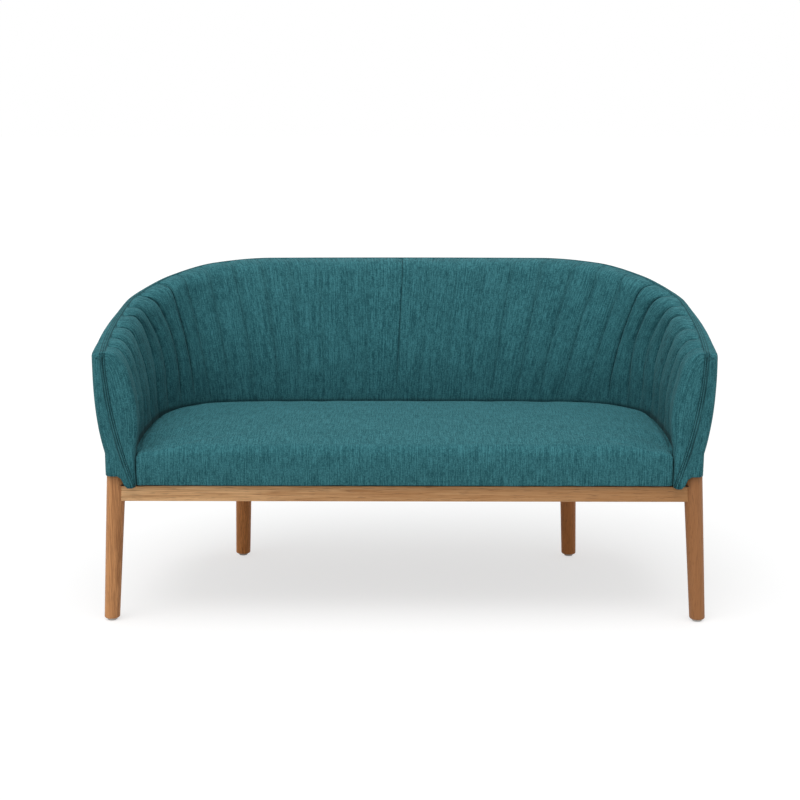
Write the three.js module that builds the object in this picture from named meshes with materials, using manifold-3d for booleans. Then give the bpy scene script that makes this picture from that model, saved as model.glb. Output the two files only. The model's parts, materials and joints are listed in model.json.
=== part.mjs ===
// A low two-seat settee with a barrel back, in millimetres: +Z up, the sitter looks along -Y.
// The origin is on the floor, under the middle of the settee.
import * as THREE from 'three';
import Module from 'manifold-3d';
import { mergeVertices } from 'three/addons/utils/BufferGeometryUtils.js';

const wasm = await Module();
wasm.setup();

// Overall size
const OVERALL_WIDTH = 1358;
const OVERALL_DEPTH = 700;
const OVERALL_HEIGHT = 745;
const ARM_HEIGHT = 606;

// Clearances
const GAP = 0.3;
const SOFT_GAP = 0.6;
const OVERRUN = 40;

// Tub wall in plan: the seat line is its inner face at seat level, the top line its outer edge
const ARM_REACH = 83;
const BACK_REACH = 160;
const SEAT_CORNER_RADIUS = 190;
const SEAT_SIDE_RADIUS = 2200;
const TOP_CORNER_GROWTH = 95;
const TOP_SIDE_RADIUS = 3800;
const SEAT_BACK_TURN = THREE.MathUtils.degToRad(3);
const TOP_BACK_TURN = THREE.MathUtils.degToRad(3.5);
const SIDE_TURN = THREE.MathUtils.degToRad(87);

// Tub wall in section
const SILL_DEPTH = 65;
const SILL_GROWTH_SHARE = 0.41;
const TOP_THICKNESS = 80;
const ROLL_HEIGHT = 34;
const ROLL_WIDTH = 34;
const ROLL_CUT_WIDTH = 10;
const ROLL_CUT_HEIGHT = 9;
const LEAN_DROP = 4;
const FLARE_DROP = 16;
const SHOULDER = 12;
const SHOULDER_CUT = 3.5;
const FRONT_ROUND = 12;

// How far the top edge has dropped from the back to the arm, along half of the tub
const TOP_DROP_SHARES = [[0, 0], [0.28, 0], [0.4, 0.077], [0.5, 0.26], [0.6, 0.48], [0.7, 0.61],
  [0.8, 0.734], [0.9, 0.86], [1, 1]];
// Where the outer cover's hem starts to rise over the front leg
const LEG_POCKET_SHARE = 0.945;
// Stations along half of the tub where its faceted wall bends
const STATION_SHARES = [0, 0.1, 0.2, 0.29, 0.36, 0.395, 0.43, 0.465, 0.5, 0.535, 0.57, 0.605, 0.64,
  0.7, 0.78, 0.86, LEG_POCKET_SHARE, 0.955, 1];
// Heights of the outer face's bends, from the start of its flare to the shoulder
const FLARE_NODE_SHARES = [0.12, 0.34, 0.65, 1];
const ARM_FLARE_POWER = 3;
const BACK_FLARE_POWER = 1.4;

// Inner cover, quilted in channels
const QUILT_THICKNESS = 9;
const QUILT_EDGE_THICKNESS = 3.5;
const CHANNEL_DEPTH = 6;
const CHANNELS_PER_SIDE = 16;
const CHANNEL_SEAT_PITCH_SHARE = 0.0563;
const CHANNEL_TOP_PITCH_SHARE = 0.056;
const CHANNEL_FAN_START_SHARE = 7 / 15;
const CHANNEL_FAN_SHARE = 0.13;
const CHANNEL_FAN_POWER = 1.4;
const QUILT_TAIL_LIFT = 9.1;
const QUILT_COLUMNS = 3;

// Double seam, where the inner and outer covers meet
const SEAM_BACK_INSET = 10;
const SEAM_ARM_INSET = 33;
const SEAM_INSET_START_SHARE = 0.7;
const SEAM_TIP_SHARE = 0.3;
const SEAM_LEAN_SHARE = 0.3;
const SEAM_CURVE_RISE = 150;
const SEAM_CURVE_POWER = 2.2;
const COVER_THICKNESS = 3;

// Foam, liners and frame inside the tub wall
const ARM_FOAM_DEPTH = 30;
const BACK_FOAM_GROWTH_SHARE = 0.45;
const LINER_THICKNESS = 4.5;
const LINER_TOP_DROP = 26;
const TOP_FOAM_DROP = 24.4;
const TOP_RAIL_THICKNESS = 20;
const POST_SHARE = 0.02;

// Wooden base
const GLIDE_HEIGHT = 5;
const GLIDE_RADIUS = 11;
const GLIDE_CHAMFER = 1;
const NAIL_RADIUS = 1.5;
const NAIL_LENGTH = 15;
const RAIL_BOTTOM_HEIGHT = 276;
const RAIL_HEIGHT = 35;
const RAIL_THICKNESS = 28;
const RAIL_EDGE_ROUND = 3;
const FRONT_LEG_SETBACK = 30;
const RAIL_FACE_SETBACK = 15;
const FRONT_LEG_TENON = 23;
const FRONT_LEG_TOP_INSET = 47;
const FRONT_LEG_SPLAY = THREE.MathUtils.degToRad(3.66);
const BACK_LEG_SPLAY = THREE.MathUtils.degToRad(1.9);
const BACK_LEG_RAKE = THREE.MathUtils.degToRad(3);
const BACK_FOOT_INSET = 262.5;
const BACK_FOOT_SETBACK = 170;
const FRONT_FOOT_RADIUS = 17.1;
const FRONT_LEG_TOP_RADIUS = 20.8;
const BACK_FOOT_RADIUS = 18;
const BACK_LEG_TOP_RADIUS = 21;
const LEG_SIDES = 24;

// Corner blocks and bolts of the base
const BLOCK_LENGTH = 70;
const BLOCK_HEIGHT = 28;
const LEG_BOLT_RADIUS = 4;
const BOLT_HEAD_RADIUS = 6.5;
const BOLT_HEAD_HEIGHT = 5;
const LEG_BOLT_TIP = 4;
const BODY_BOLT_RADIUS = 3;
const BACK_BODY_BOLT_INSET = 166.5;
const FRONT_BODY_BOLT_INSET = 202;
const BODY_BOLT_BITE = 14;
const BODY_BOLT_SINK = 1;
const BOLT_SIDES = 8;
const GLIDE_SIDES = 12;

// Bottom of the body and its seat frame
const DUST_COVER_THICKNESS = 0.8;
const DUST_COVER_INSET = 12;
const BOTTOM_RING_THICKNESS = 18;
const RING_LEDGE = 45;
const SPACER_HEIGHT = 23;
const SEAT_RING_THICKNESS = 18;
const SEAT_FRONT_RAIL_THICKNESS = 22;
const SEAT_FRONT_RAIL_SETBACK = 19;
const SEAT_FRONT_RAIL_END_INSET = 58;
const SPACER_WIDTH = 60;
const WEB_THICKNESS = 2;
const WEB_WIDTH = 60;
const WEB_COUNT = 5;
const WEB_END_INSET = 196;
const CROSS_WEB_COUNT = 2;
const CROSS_WEB_FRONT = 180;
const CROSS_WEB_SPACING = 170;
const WEB_HOLD = 30;

// Bench seat
const SEAT_SETBACK = 5;
const SEAT_COVER_THICKNESS = 1.6;
const SEAT_SIDE_CLEARANCE = 1.5;
const SEAT_EDGE_RISE = 27.1;
const SEAT_CROWN = 18;
const SEAT_EDGE_ROLL = 24;
const SEAT_FRONT_CELLS = 8;
const SEAT_RING_SHARES = [0.8, 0.42];
const SEAT_SKIRT_LIFT = 1;
const FRONT_FOAM_THICKNESS = 11.4;

// Sizes worked out from the ones above
const FRONT = -OVERALL_DEPTH / 2;
const TOP_HALF_WIDTH = OVERALL_WIDTH / 2;
const TOP_BACK = OVERALL_DEPTH / 2;
const SEAT_HALF_WIDTH = TOP_HALF_WIDTH - ARM_REACH;
const SEAT_BACK = TOP_BACK - BACK_REACH;
const RAIL_TOP_HEIGHT = RAIL_BOTTOM_HEIGHT + RAIL_HEIGHT;
const DUST_COVER_HEIGHT = RAIL_TOP_HEIGHT + GAP;
const BODY_BOTTOM_HEIGHT = DUST_COVER_HEIGHT + DUST_COVER_THICKNESS + GAP;
const BOTTOM_RING_TOP_HEIGHT = BODY_BOTTOM_HEIGHT + BOTTOM_RING_THICKNESS;
const SEAT_RING_BOTTOM_HEIGHT = BOTTOM_RING_TOP_HEIGHT + GAP + SPACER_HEIGHT + GAP;
const SEAT_RING_TOP_HEIGHT = SEAT_RING_BOTTOM_HEIGHT + SEAT_RING_THICKNESS;
const WEB_HEIGHT = SEAT_RING_TOP_HEIGHT + GAP;
const CROSS_WEB_HEIGHT = WEB_HEIGHT + WEB_THICKNESS + GAP;
const SEAT_FOAM_BOTTOM_HEIGHT = CROSS_WEB_HEIGHT + WEB_THICKNESS + GAP;
const SEAT_EDGE_HEIGHT = SEAT_FOAM_BOTTOM_HEIGHT + SEAT_EDGE_RISE;
const LEAN_START_HEIGHT = SEAT_EDGE_HEIGHT - LEAN_DROP;
const FLARE_START_HEIGHT = LEAN_START_HEIGHT - FLARE_DROP;
const SEAM_CURVE_TOP_HEIGHT = LEAN_START_HEIGHT + SEAM_CURVE_RISE;
const QUILT_BOTTOM_HEIGHT = SEAT_FOAM_BOTTOM_HEIGHT + QUILT_TAIL_LIFT;
const SEAT_SKIRT_HEIGHT = QUILT_BOTTOM_HEIGHT + SEAT_SKIRT_LIFT;
const SEAT_FACE = FRONT + SEAT_SETBACK;
const LINER_SETBACK = COVER_THICKNESS + SOFT_GAP;
const FRAME_SETBACK = LINER_SETBACK + LINER_THICKNESS + SOFT_GAP;
const LIP_SETBACK = COVER_THICKNESS + 2 * SOFT_GAP;
const QUILT_FOAM_GAP = QUILT_THICKNESS + 2 * SOFT_GAP;
const FRONT_LEG_TOP_X = TOP_HALF_WIDTH - FRONT_LEG_TOP_INSET;
const FRONT_LEG_TOP_HEIGHT = RAIL_TOP_HEIGHT + FRONT_LEG_TENON;
const BACK_FOOT_X = TOP_HALF_WIDTH - BACK_FOOT_INSET;
const FRONT_BODY_BOLT_X = FRONT_LEG_TOP_X - FRONT_BODY_BOLT_INSET;
const BACK_BODY_BOLT_X = BACK_FOOT_X - BACK_BODY_BOLT_INSET;
const WEB_SPREAD = SEAT_HALF_WIDTH - WEB_END_INSET;
const FRONT_LEG_Y = FRONT + FRONT_LEG_SETBACK;
const RAIL_MIDDLE_HEIGHT = RAIL_BOTTOM_HEIGHT + RAIL_HEIGHT / 2;
const LEG_POCKET_HEIGHT = FRONT_LEG_TOP_HEIGHT + GAP;

// Materials
function finish(color, roughness, metalness = 0) {
  return new THREE.MeshStandardMaterial({ color, roughness, metalness });
}
const TEAL_CLOTH = finish(0x2b6a70, 0.9);
const OILED_WOOD = finish(0xb98a5c, 0.55);
const PLYWOOD = finish(0xcbb08a, 0.7);
const FOAM = finish(0xe8e0c8, 0.95);
const FIBREBOARD = finish(0x8a6b4c, 0.85);
const BLACK_CLOTH = finish(0x1c1c1e, 0.95);
const WEBBING = finish(0x2a2a2c, 0.85);
const STEEL = finish(0x9a9da0, 0.4, 0.9);
const GLIDE_PLASTIC = finish(0xc9c7c0, 0.5);

const settee = new THREE.Group();

function addPiece(name, geometry, material) {
  const piece = new THREE.Mesh(geometry, material.clone());
  piece.name = name;
  settee.add(piece);
}

// Closed meshes from rings of points

function signedVolume(points, faces) {
  let volume = 0;
  for (const [a, b, c] of faces) {
    volume += points[a].dot(points[b].clone().cross(points[c]));
  }
  return volume;
}

function closedGeometry(points, faces) {
  const outward = signedVolume(points, faces) > 0;
  const index = faces.flatMap(([a, b, c]) => (outward ? [a, b, c] : [a, c, b]));
  const geometry = new THREE.BufferGeometry().setFromPoints(points);
  geometry.setIndex(index);
  geometry.computeVertexNormals();
  return geometry;
}

// Faces between two rows of points; the split of each four-sided face mirrors left to right
function bridge(points, faces, low, high, closed) {
  for (let i = 0; i < low.length - (closed ? 0 : 1); i += 1) {
    const j = (i + 1) % low.length;
    const across = points[low[i]].x + points[high[j]].x;
    if (across > 0) {
      faces.push([low[i], low[j], high[i]], [low[j], high[j], high[i]]);
    } else {
      faces.push([low[i], low[j], high[j]], [low[i], high[j], high[i]]);
    }
  }
}

// Triangles that fill a flat loop, all wound the way the loop runs
function capFaces(flatLoop) {
  const turn = Math.sign(THREE.ShapeUtils.area(flatLoop));
  return THREE.ShapeUtils.triangulateShape(flatLoop, []).map(([a, b, c]) => {
    const area = THREE.ShapeUtils.area([flatLoop[a], flatLoop[b], flatLoop[c]]);
    return Math.sign(area) === turn ? [a, b, c] : [a, c, b];
  });
}

// A closed loop of points carried along a path, with flat ends
function sweptSolid(loops, firstFlat, lastFlat = firstFlat) {
  const size = loops[0].length;
  const points = loops.flat();
  const faces = [];
  const indexOf = (loop) => Array.from({ length: size }, (_, i) => loop * size + i);
  for (let loop = 0; loop + 1 < loops.length; loop += 1) {
    bridge(points, faces, indexOf(loop), indexOf(loop + 1), true);
  }
  const last = (loops.length - 1) * size;
  faces.push(...capFaces(firstFlat).map(([a, b, c]) => [a, c, b]));
  faces.push(...capFaces(lastFlat).map(([a, b, c]) => [last + a, last + b, last + c]));
  return closedGeometry(points, faces);
}

// A sheet with two faces, each a grid of rows of points, joined round its border
function sheetSolid(outerRows, innerRows) {
  const columns = outerRows[0].length;
  const points = [...outerRows.flat(), ...innerRows.flat()];
  const start = outerRows.length * columns;
  const outer = outerRows.map((_, r) => Array.from({ length: columns }, (_, c) => r * columns + c));
  const inner = innerRows.map((_, r) => outerRows[0].map((_, c) => start + r * columns + c));
  const faces = [];
  for (let r = 0; r + 1 < outer.length; r += 1) {
    bridge(points, faces, outer[r], outer[r + 1], false);
  }
  for (let r = 0; r + 1 < inner.length; r += 1) {
    bridge(points, faces, inner[r + 1], inner[r], false);
  }
  bridge(points, faces, inner[0], outer[0], false);
  bridge(points, faces, outer.at(-1), inner.at(-1), false);
  for (const [side, flip] of [[0, true], [columns - 1, false]]) {
    const border = [...outer.map((row) => row[side]), ...inner.map((row) => row[side]).reverse()];
    const flat = border.map((_, i) => i);
    for (const [a, b, c] of stripCap(outer.length, inner.length, flat)) {
      const face = [border[a], border[b], border[c]];
      faces.push(flip ? [face[0], face[2], face[1]] : face);
    }
  }
  return closedGeometry(points, faces);
}

// Triangles between two facing polylines that share a border loop
function stripCap(outerCount, innerCount, flat) {
  const faces = [];
  let a = 0;
  let b = 0;
  const innerAt = (i) => flat[outerCount + innerCount - 1 - i];
  while (a + 1 < outerCount || b + 1 < innerCount) {
    const outerFirst = (a + 1) * innerCount <= (b + 1) * outerCount && a + 1 < outerCount;
    if (outerFirst || b + 1 >= innerCount) {
      faces.push([flat[a], innerAt(b), flat[a + 1]]);
      a += 1;
    } else {
      faces.push([flat[a], innerAt(b), innerAt(b + 1)]);
      b += 1;
    }
  }
  return faces;
}

// Solids joined and cut

function toSolid(geometry) {
  const bare = geometry.clone();
  bare.deleteAttribute('normal');
  if (bare.getAttribute('uv')) bare.deleteAttribute('uv');
  const merged = mergeVertices(bare, GAP / 1000);
  return new wasm.Manifold(new wasm.Mesh({
    numProp: 3,
    vertProperties: new Float32Array(merged.getAttribute('position').array),
    triVerts: new Uint32Array(merged.index.array),
  }));
}

function toGeometry(solid) {
  const mesh = solid.getMesh();
  const geometry = new THREE.BufferGeometry();
  geometry.setAttribute('position', new THREE.BufferAttribute(new Float32Array(mesh.vertProperties), 3));
  geometry.setIndex(new THREE.BufferAttribute(new Uint32Array(mesh.triVerts), 1));
  geometry.computeVertexNormals();
  return geometry;
}

function cutBy(geometry, cutters) {
  const solid = cutters.reduce((left, cutter) => left.subtract(toSolid(cutter)), toSolid(geometry));
  return toGeometry(solid);
}

function box(low, high) {
  const size = high.clone().sub(low);
  const middle = high.clone().add(low).multiplyScalar(0.5);
  return new THREE.BoxGeometry(size.x, size.y, size.z).translate(middle.x, middle.y, middle.z);
}

// A solid turned about the line from one point to another; profile is [radius, distance] pairs
function turned(from, to, profile, sides) {
  const outline = profile.map(([radius, distance]) => new THREE.Vector2(radius, distance));
  const along = to.clone().sub(from).normalize();
  const turn = new THREE.Quaternion().setFromUnitVectors(new THREE.Vector3(0, 1, 0), along);
  return new THREE.LatheGeometry(outline, sides).applyQuaternion(turn).translate(from.x, from.y, from.z);
}

function rod(from, to, radius, sides) {
  const length = from.distanceTo(to);
  return turned(from, to, [[0, 0], [radius, 0], [radius, length], [0, length]], sides);
}

// Plan of the tub

function interpolate(pairs, x) {
  const last = pairs.length - 1;
  const slope = (i) => (pairs[i + 1][1] - pairs[i][1]) / (pairs[i + 1][0] - pairs[i][0]);
  const tangent = (i) => {
    if (i === 0) return slope(0);
    if (i === last) return slope(last - 1);
    const before = slope(i - 1);
    const after = slope(i);
    return before * after <= 0 ? 0 : (2 * before * after) / (before + after);
  };
  const i = Math.min(Math.max(pairs.findIndex(([at]) => at >= x), 1), last) - 1;
  const width = pairs[i + 1][0] - pairs[i][0];
  const t = (x - pairs[i][0]) / width;
  const start = (1 + 2 * t) * (1 - t) ** 2 * pairs[i][1] + t * (1 - t) ** 2 * width * tangent(i);
  const end = t * t * (3 - 2 * t) * pairs[i + 1][1] + t * t * (t - 1) * width * tangent(i + 1);
  return start + end;
}

// Half of a tub line: a nearly straight back, a round corner and a gently bowed side
function tubLine({ halfWidth, back, cornerRadius, sideRadius, backTurn }) {
  const widthLeft = halfWidth - sideRadius + (sideRadius - cornerRadius) * Math.sin(SIDE_TURN);
  const backRadius = widthLeft / Math.sin(backTurn) + cornerRadius;
  const step = (from, length, turn) => new THREE.Vector2(
    from.x + length * Math.sin(turn),
    from.y + length * Math.cos(turn),
  );
  const backCentre = new THREE.Vector2(0, back - backRadius);
  const cornerCentre = step(backCentre, backRadius - cornerRadius, backTurn);
  const sideCentre = step(cornerCentre, cornerRadius - sideRadius, SIDE_TURN);
  const endTurn = Math.acos((FRONT - sideCentre.y) / sideRadius);
  const arcs = [
    { centre: backCentre, radius: backRadius, from: 0, to: backTurn },
    { centre: cornerCentre, radius: cornerRadius, from: backTurn, to: SIDE_TURN },
    { centre: sideCentre, radius: sideRadius, from: SIDE_TURN, to: endTurn },
  ];
  const length = arcs.reduce((sum, arc) => sum + arc.radius * (arc.to - arc.from), 0);
  const at = (share) => {
    let left = Math.abs(share) * length;
    let arc = arcs[0];
    for (arc of arcs) {
      const arcLength = arc.radius * (arc.to - arc.from);
      if (left <= arcLength || arc === arcs.at(-1)) break;
      left -= arcLength;
    }
    const point = step(arc.centre, arc.radius, arc.from + left / arc.radius);
    return new THREE.Vector2(share < 0 ? -point.x : point.x, point.y);
  };
  return { at, length };
}

const seatLine = tubLine({
  halfWidth: SEAT_HALF_WIDTH,
  back: SEAT_BACK,
  cornerRadius: SEAT_CORNER_RADIUS,
  sideRadius: SEAT_SIDE_RADIUS,
  backTurn: SEAT_BACK_TURN,
});
const topLine = tubLine({
  halfWidth: TOP_HALF_WIDTH,
  back: TOP_BACK,
  cornerRadius: SEAT_CORNER_RADIUS + TOP_CORNER_GROWTH,
  sideRadius: TOP_SIDE_RADIUS,
  backTurn: TOP_BACK_TURN,
});
const FRONT_EDGE_SHARE = 1 - FRONT_ROUND / topLine.length;

// Section of the tub wall at a share of the way from its middle to an arm front
function sectionAt(share) {
  const base = seatLine.at(share);
  const top = topLine.at(share);
  const reach = base.distanceTo(top);
  const out = top.clone().sub(base).divideScalar(reach);
  const armward = THREE.MathUtils.clamp((BACK_REACH - reach) / (BACK_REACH - ARM_REACH), 0, 1);
  const drop = interpolate(TOP_DROP_SHARES, Math.abs(share));
  return {
    share,
    base,
    out,
    reach,
    topHeight: OVERALL_HEIGHT - (OVERALL_HEIGHT - ARM_HEIGHT) * drop,
    sill: SILL_DEPTH + (reach - ARM_REACH) * SILL_GROWTH_SHARE,
    foam: ARM_FOAM_DEPTH + (reach - ARM_REACH) * SILL_GROWTH_SHARE * BACK_FOAM_GROWTH_SHARE,
    flarePower: BACK_FLARE_POWER + (ARM_FLARE_POWER - BACK_FLARE_POWER) * armward,
    seamInset: SEAM_BACK_INSET + (SEAM_ARM_INSET - SEAM_BACK_INSET)
      * THREE.MathUtils.smoothstep(Math.abs(share), SEAM_INSET_START_SHARE, 1),
  };
}

const STATIONS = [...STATION_SHARES.slice(1).reverse().map((share) => -share), ...STATION_SHARES];
const SECTIONS = STATIONS.map(sectionAt);

function spot(section, [depth, height]) {
  return new THREE.Vector3(
    section.base.x + section.out.x * depth,
    section.base.y + section.out.y * depth,
    height,
  );
}

// A point of the faceted wall: straight between the sections on either side of it
function onWall(share, place) {
  const last = SECTIONS.length - 2;
  const cell = Math.min(Math.max(STATIONS.findIndex((station) => station > share) - 1, 0), last);
  const after = share >= STATIONS.at(-1) ? last : cell;
  const low = SECTIONS[after];
  const high = SECTIONS[after + 1];
  const t = (share - low.share) / (high.share - low.share);
  return spot(low, place(low)).lerp(spot(high, place(high)), t);
}

function sharesBetween(from, to) {
  return [from, ...STATIONS.filter((station) => station > from && station < to), to];
}

// Inner and outer faces of the wall in section, as [depth, height] pairs going up

function innerLine(section) {
  const rollFoot = section.topHeight - ROLL_HEIGHT;
  return [
    [0, BODY_BOTTOM_HEIGHT],
    [0, LEAN_START_HEIGHT],
    [section.reach - TOP_THICKNESS, rollFoot],
  ];
}

function outerLine(section) {
  const shoulder = section.topHeight - SHOULDER;
  const flare = FLARE_NODE_SHARES.map((rise) => [
    section.sill + (section.reach - section.sill) * (1 - (1 - rise) ** section.flarePower),
    FLARE_START_HEIGHT + (shoulder - FLARE_START_HEIGHT) * rise,
  ]);
  return [[section.sill, BODY_BOTTOM_HEIGHT], [section.sill, FLARE_START_HEIGHT], ...flare];
}

function depthAt(line, height) {
  const top = line.length - 1;
  const above = Math.min(Math.max(line.findIndex(([, z]) => z >= height), 1), top);
  const upper = line.at(height > line[top][1] ? top : above);
  const lower = line.at(height > line[top][1] ? top - 1 : above - 1);
  const t = (height - lower[1]) / (upper[1] - lower[1]);
  return lower[0] + (upper[0] - lower[0]) * t;
}

function slice(line, from, to, shift) {
  const between = line.filter(([, z]) => z > from && z < to);
  const ends = [from, to].map((z) => [depthAt(line, z), z]);
  return [ends[0], ...between, ends[1]].map(([depth, z]) => [depth + shift, z]);
}

// A solid that follows the wall, its section given for each station
function wallSolid(from, to, profile) {
  const shares = sharesBetween(from, to);
  const size = profile(SECTIONS[0]).length;
  const loops = shares.map((share) => Array.from({ length: size }, (_, i) => (
    onWall(share, (section) => profile(section)[i])
  )));
  const flatAt = (share) => profile(sectionAt(share)).map(([depth, z]) => new THREE.Vector2(depth, z));
  return sweptSolid(loops, flatAt(from), flatAt(to));
}

// Wooden base

function legAxisAt({ foot, top }, height) {
  return foot.clone().lerp(top, (height - foot.z) / (top.z - foot.z));
}

function frontLeg(side) {
  const spread = FRONT_LEG_TOP_HEIGHT * Math.tan(FRONT_LEG_SPLAY);
  const foot = new THREE.Vector3(side * (FRONT_LEG_TOP_X + spread), FRONT_LEG_Y, 0);
  const top = new THREE.Vector3(side * FRONT_LEG_TOP_X, FRONT_LEG_Y, FRONT_LEG_TOP_HEIGHT);
  return { foot, top, footRadius: FRONT_FOOT_RADIUS, topRadius: FRONT_LEG_TOP_RADIUS };
}

function backLeg(side) {
  const spread = RAIL_TOP_HEIGHT * Math.tan(BACK_LEG_SPLAY);
  const rake = RAIL_TOP_HEIGHT * Math.tan(BACK_LEG_RAKE);
  const footY = TOP_BACK - BACK_FOOT_SETBACK;
  const foot = new THREE.Vector3(side * BACK_FOOT_X, footY, 0);
  const top = new THREE.Vector3(side * (BACK_FOOT_X - spread), footY - rake, RAIL_TOP_HEIGHT);
  return { foot, top, footRadius: BACK_FOOT_RADIUS, topRadius: BACK_LEG_TOP_RADIUS };
}

// Where the leg's axis meets the middle of the rails
function middleOf(post) {
  return legAxisAt(post, RAIL_MIDDLE_HEIGHT);
}

// The leg's turned taper, longer than the leg, with a clearance all round
function legTaper(post, clearance) {
  const axis = post.top.clone().sub(post.foot);
  const length = axis.length();
  const slope = (post.topRadius - post.footRadius) / length;
  const along = axis.normalize();
  const from = post.foot.clone().addScaledVector(along, -OVERRUN);
  const to = post.top.clone().addScaledVector(along, OVERRUN);
  const low = post.footRadius - slope * OVERRUN + clearance;
  const high = post.topRadius + slope * OVERRUN + clearance;
  const reach = from.distanceTo(to);
  return turned(from, to, [[0, 0], [low, 0], [high, reach], [0, reach]], LEG_SIDES);
}

function slab(bottom, top) {
  return box(
    new THREE.Vector3(-OVERALL_WIDTH, -OVERALL_WIDTH, bottom),
    new THREE.Vector3(OVERALL_WIDTH, OVERALL_WIDTH, top),
  );
}

function legSolid(post, bolt) {
  const below = slab(-OVERALL_HEIGHT, GLIDE_HEIGHT + GAP);
  const above = slab(post.top.z, OVERALL_HEIGHT * 2);
  const at = legAxisAt(post, GLIDE_HEIGHT);
  const nailTop = at.clone().setZ(GLIDE_HEIGHT + NAIL_LENGTH + GAP);
  const nailHole = rod(at.clone().setZ(0), nailTop, NAIL_RADIUS + GAP, BOLT_SIDES);
  return cutBy(legTaper(post, 0), [below, above, nailHole, boltHole(bolt, GAP)]);
}

function glideSolid(post) {
  const at = legAxisAt(post, GLIDE_HEIGHT).setZ(0);
  const up = at.clone().setZ(GLIDE_HEIGHT);
  const nailTop = GLIDE_HEIGHT + NAIL_LENGTH;
  const outline = [[0, 0], [GLIDE_RADIUS - GLIDE_CHAMFER, 0], [GLIDE_RADIUS, GLIDE_CHAMFER],
    [GLIDE_RADIUS, GLIDE_HEIGHT], [NAIL_RADIUS, GLIDE_HEIGHT], [NAIL_RADIUS, nailTop], [0, nailTop]];
  return turned(at, up, outline, GLIDE_SIDES);
}

// A rail of the base between two points of its middle line, with its long edges rounded
function railSolid(from, to) {
  const width = RAIL_THICKNESS / 2;
  const height = RAIL_HEIGHT / 2;
  const round = RAIL_EDGE_ROUND;
  const outline = new THREE.Shape();
  outline.moveTo(-width + round, -height);
  outline.lineTo(width - round, -height);
  outline.lineTo(width, -height + round);
  outline.lineTo(width, height);
  outline.lineTo(-width, height);
  outline.lineTo(-width, -height + round);
  outline.closePath();
  const length = Math.hypot(to.x - from.x, to.y - from.y);
  const geometry = new THREE.ExtrudeGeometry(outline, { depth: length, bevelEnabled: false });
  const heading = Math.atan2(to.y - from.y, to.x - from.x);
  return geometry
    .rotateX(Math.PI / 2)
    .rotateZ(heading + Math.PI / 2)
    .translate(from.x, from.y, RAIL_MIDDLE_HEIGHT);
}

// A triangular block in the corner between two rails, and the bolt through it into the leg
function cornerFrame(post, first, second) {
  const middle = middleOf(post);
  const bisector = first.clone().add(second).normalize();
  const halfAngle = Math.acos(THREE.MathUtils.clamp(bisector.dot(first), -1, 1));
  const apex = middle.clone().addScaledVector(
    bisector,
    (RAIL_THICKNESS / 2 + GAP) / Math.sin(halfAngle),
  );
  const corners = [apex, apex.clone().addScaledVector(first, BLOCK_LENGTH),
    apex.clone().addScaledVector(second, BLOCK_LENGTH)];
  const faceAt = corners[1].clone().add(corners[2]).multiplyScalar(0.5);
  const head = faceAt.clone().addScaledVector(bisector, GAP);
  return {
    corners,
    bolt: {
      head: head.clone().addScaledVector(bisector, BOLT_HEAD_HEIGHT),
      seat: head,
      tip: middle.clone().addScaledVector(bisector, LEG_BOLT_TIP),
      radius: LEG_BOLT_RADIUS,
    },
  };
}

function blockSolid({ corners, bolt }, post) {
  const low = RAIL_MIDDLE_HEIGHT - BLOCK_HEIGHT / 2;
  const ring = (height) => corners.map((corner) => corner.clone().setZ(height));
  const flat = corners.map((corner) => new THREE.Vector2(corner.x, corner.y));
  const block = sweptSolid([ring(low), ring(low + BLOCK_HEIGHT)], flat);
  return cutBy(block, [boltHole(bolt, GAP), legTaper(post, GAP)]);
}

function boltSolid({ head, seat, tip, radius }) {
  const headHeight = head.distanceTo(seat);
  const length = head.distanceTo(tip);
  const outline = [[0, 0], [BOLT_HEAD_RADIUS, 0], [BOLT_HEAD_RADIUS, headHeight],
    [radius, headHeight], [radius, length], [0, length]];
  return turned(head, tip, outline, BOLT_SIDES);
}

function boltHole({ seat, tip, radius }, clearance) {
  const along = tip.clone().sub(seat).normalize();
  const end = tip.clone().addScaledVector(along, clearance);
  const start = seat.clone().addScaledVector(along, -clearance);
  return rod(start, end, radius + clearance, BOLT_SIDES);
}

// The round recess under a rail that takes the head of a body bolt
function boltRecess({ head, seat }, clearance) {
  const along = seat.clone().sub(head).normalize();
  const start = head.clone().addScaledVector(along, -OVERRUN);
  const end = seat.clone().addScaledVector(along, clearance);
  return rod(start, end, BOLT_HEAD_RADIUS + clearance, BOLT_SIDES);
}

// Bolts that come up through the base rails into the bottom ring and the seat's front rail
function bodyBolt(x, y) {
  return {
    head: new THREE.Vector3(x, y, RAIL_BOTTOM_HEIGHT + BODY_BOLT_SINK),
    seat: new THREE.Vector3(x, y, RAIL_BOTTOM_HEIGHT + BODY_BOLT_SINK + BOLT_HEAD_HEIGHT),
    tip: new THREE.Vector3(x, y, BODY_BOTTOM_HEIGHT + BODY_BOLT_BITE),
    radius: BODY_BOLT_RADIUS,
  };
}

const SIDES = [['left', -1], ['right', 1]];
const backRailY = middleOf(backLeg(1)).y;
const frontRailY = FRONT_LEG_Y - RAIL_FACE_SETBACK + RAIL_THICKNESS / 2;
const bodyBolts = SIDES.flatMap(([label, side]) => [
  [`front_body_bolt_${label}`, bodyBolt(side * FRONT_BODY_BOLT_X, frontRailY)],
  [`back_body_bolt_${label}`, bodyBolt(side * BACK_BODY_BOLT_X, backRailY)],
]);
const bodyBoltHoles = bodyBolts.map(([, bolt]) => boltHole(bolt, GAP));
const bodyBoltRecesses = bodyBolts.map(([, bolt]) => boltRecess(bolt, GAP));

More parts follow.
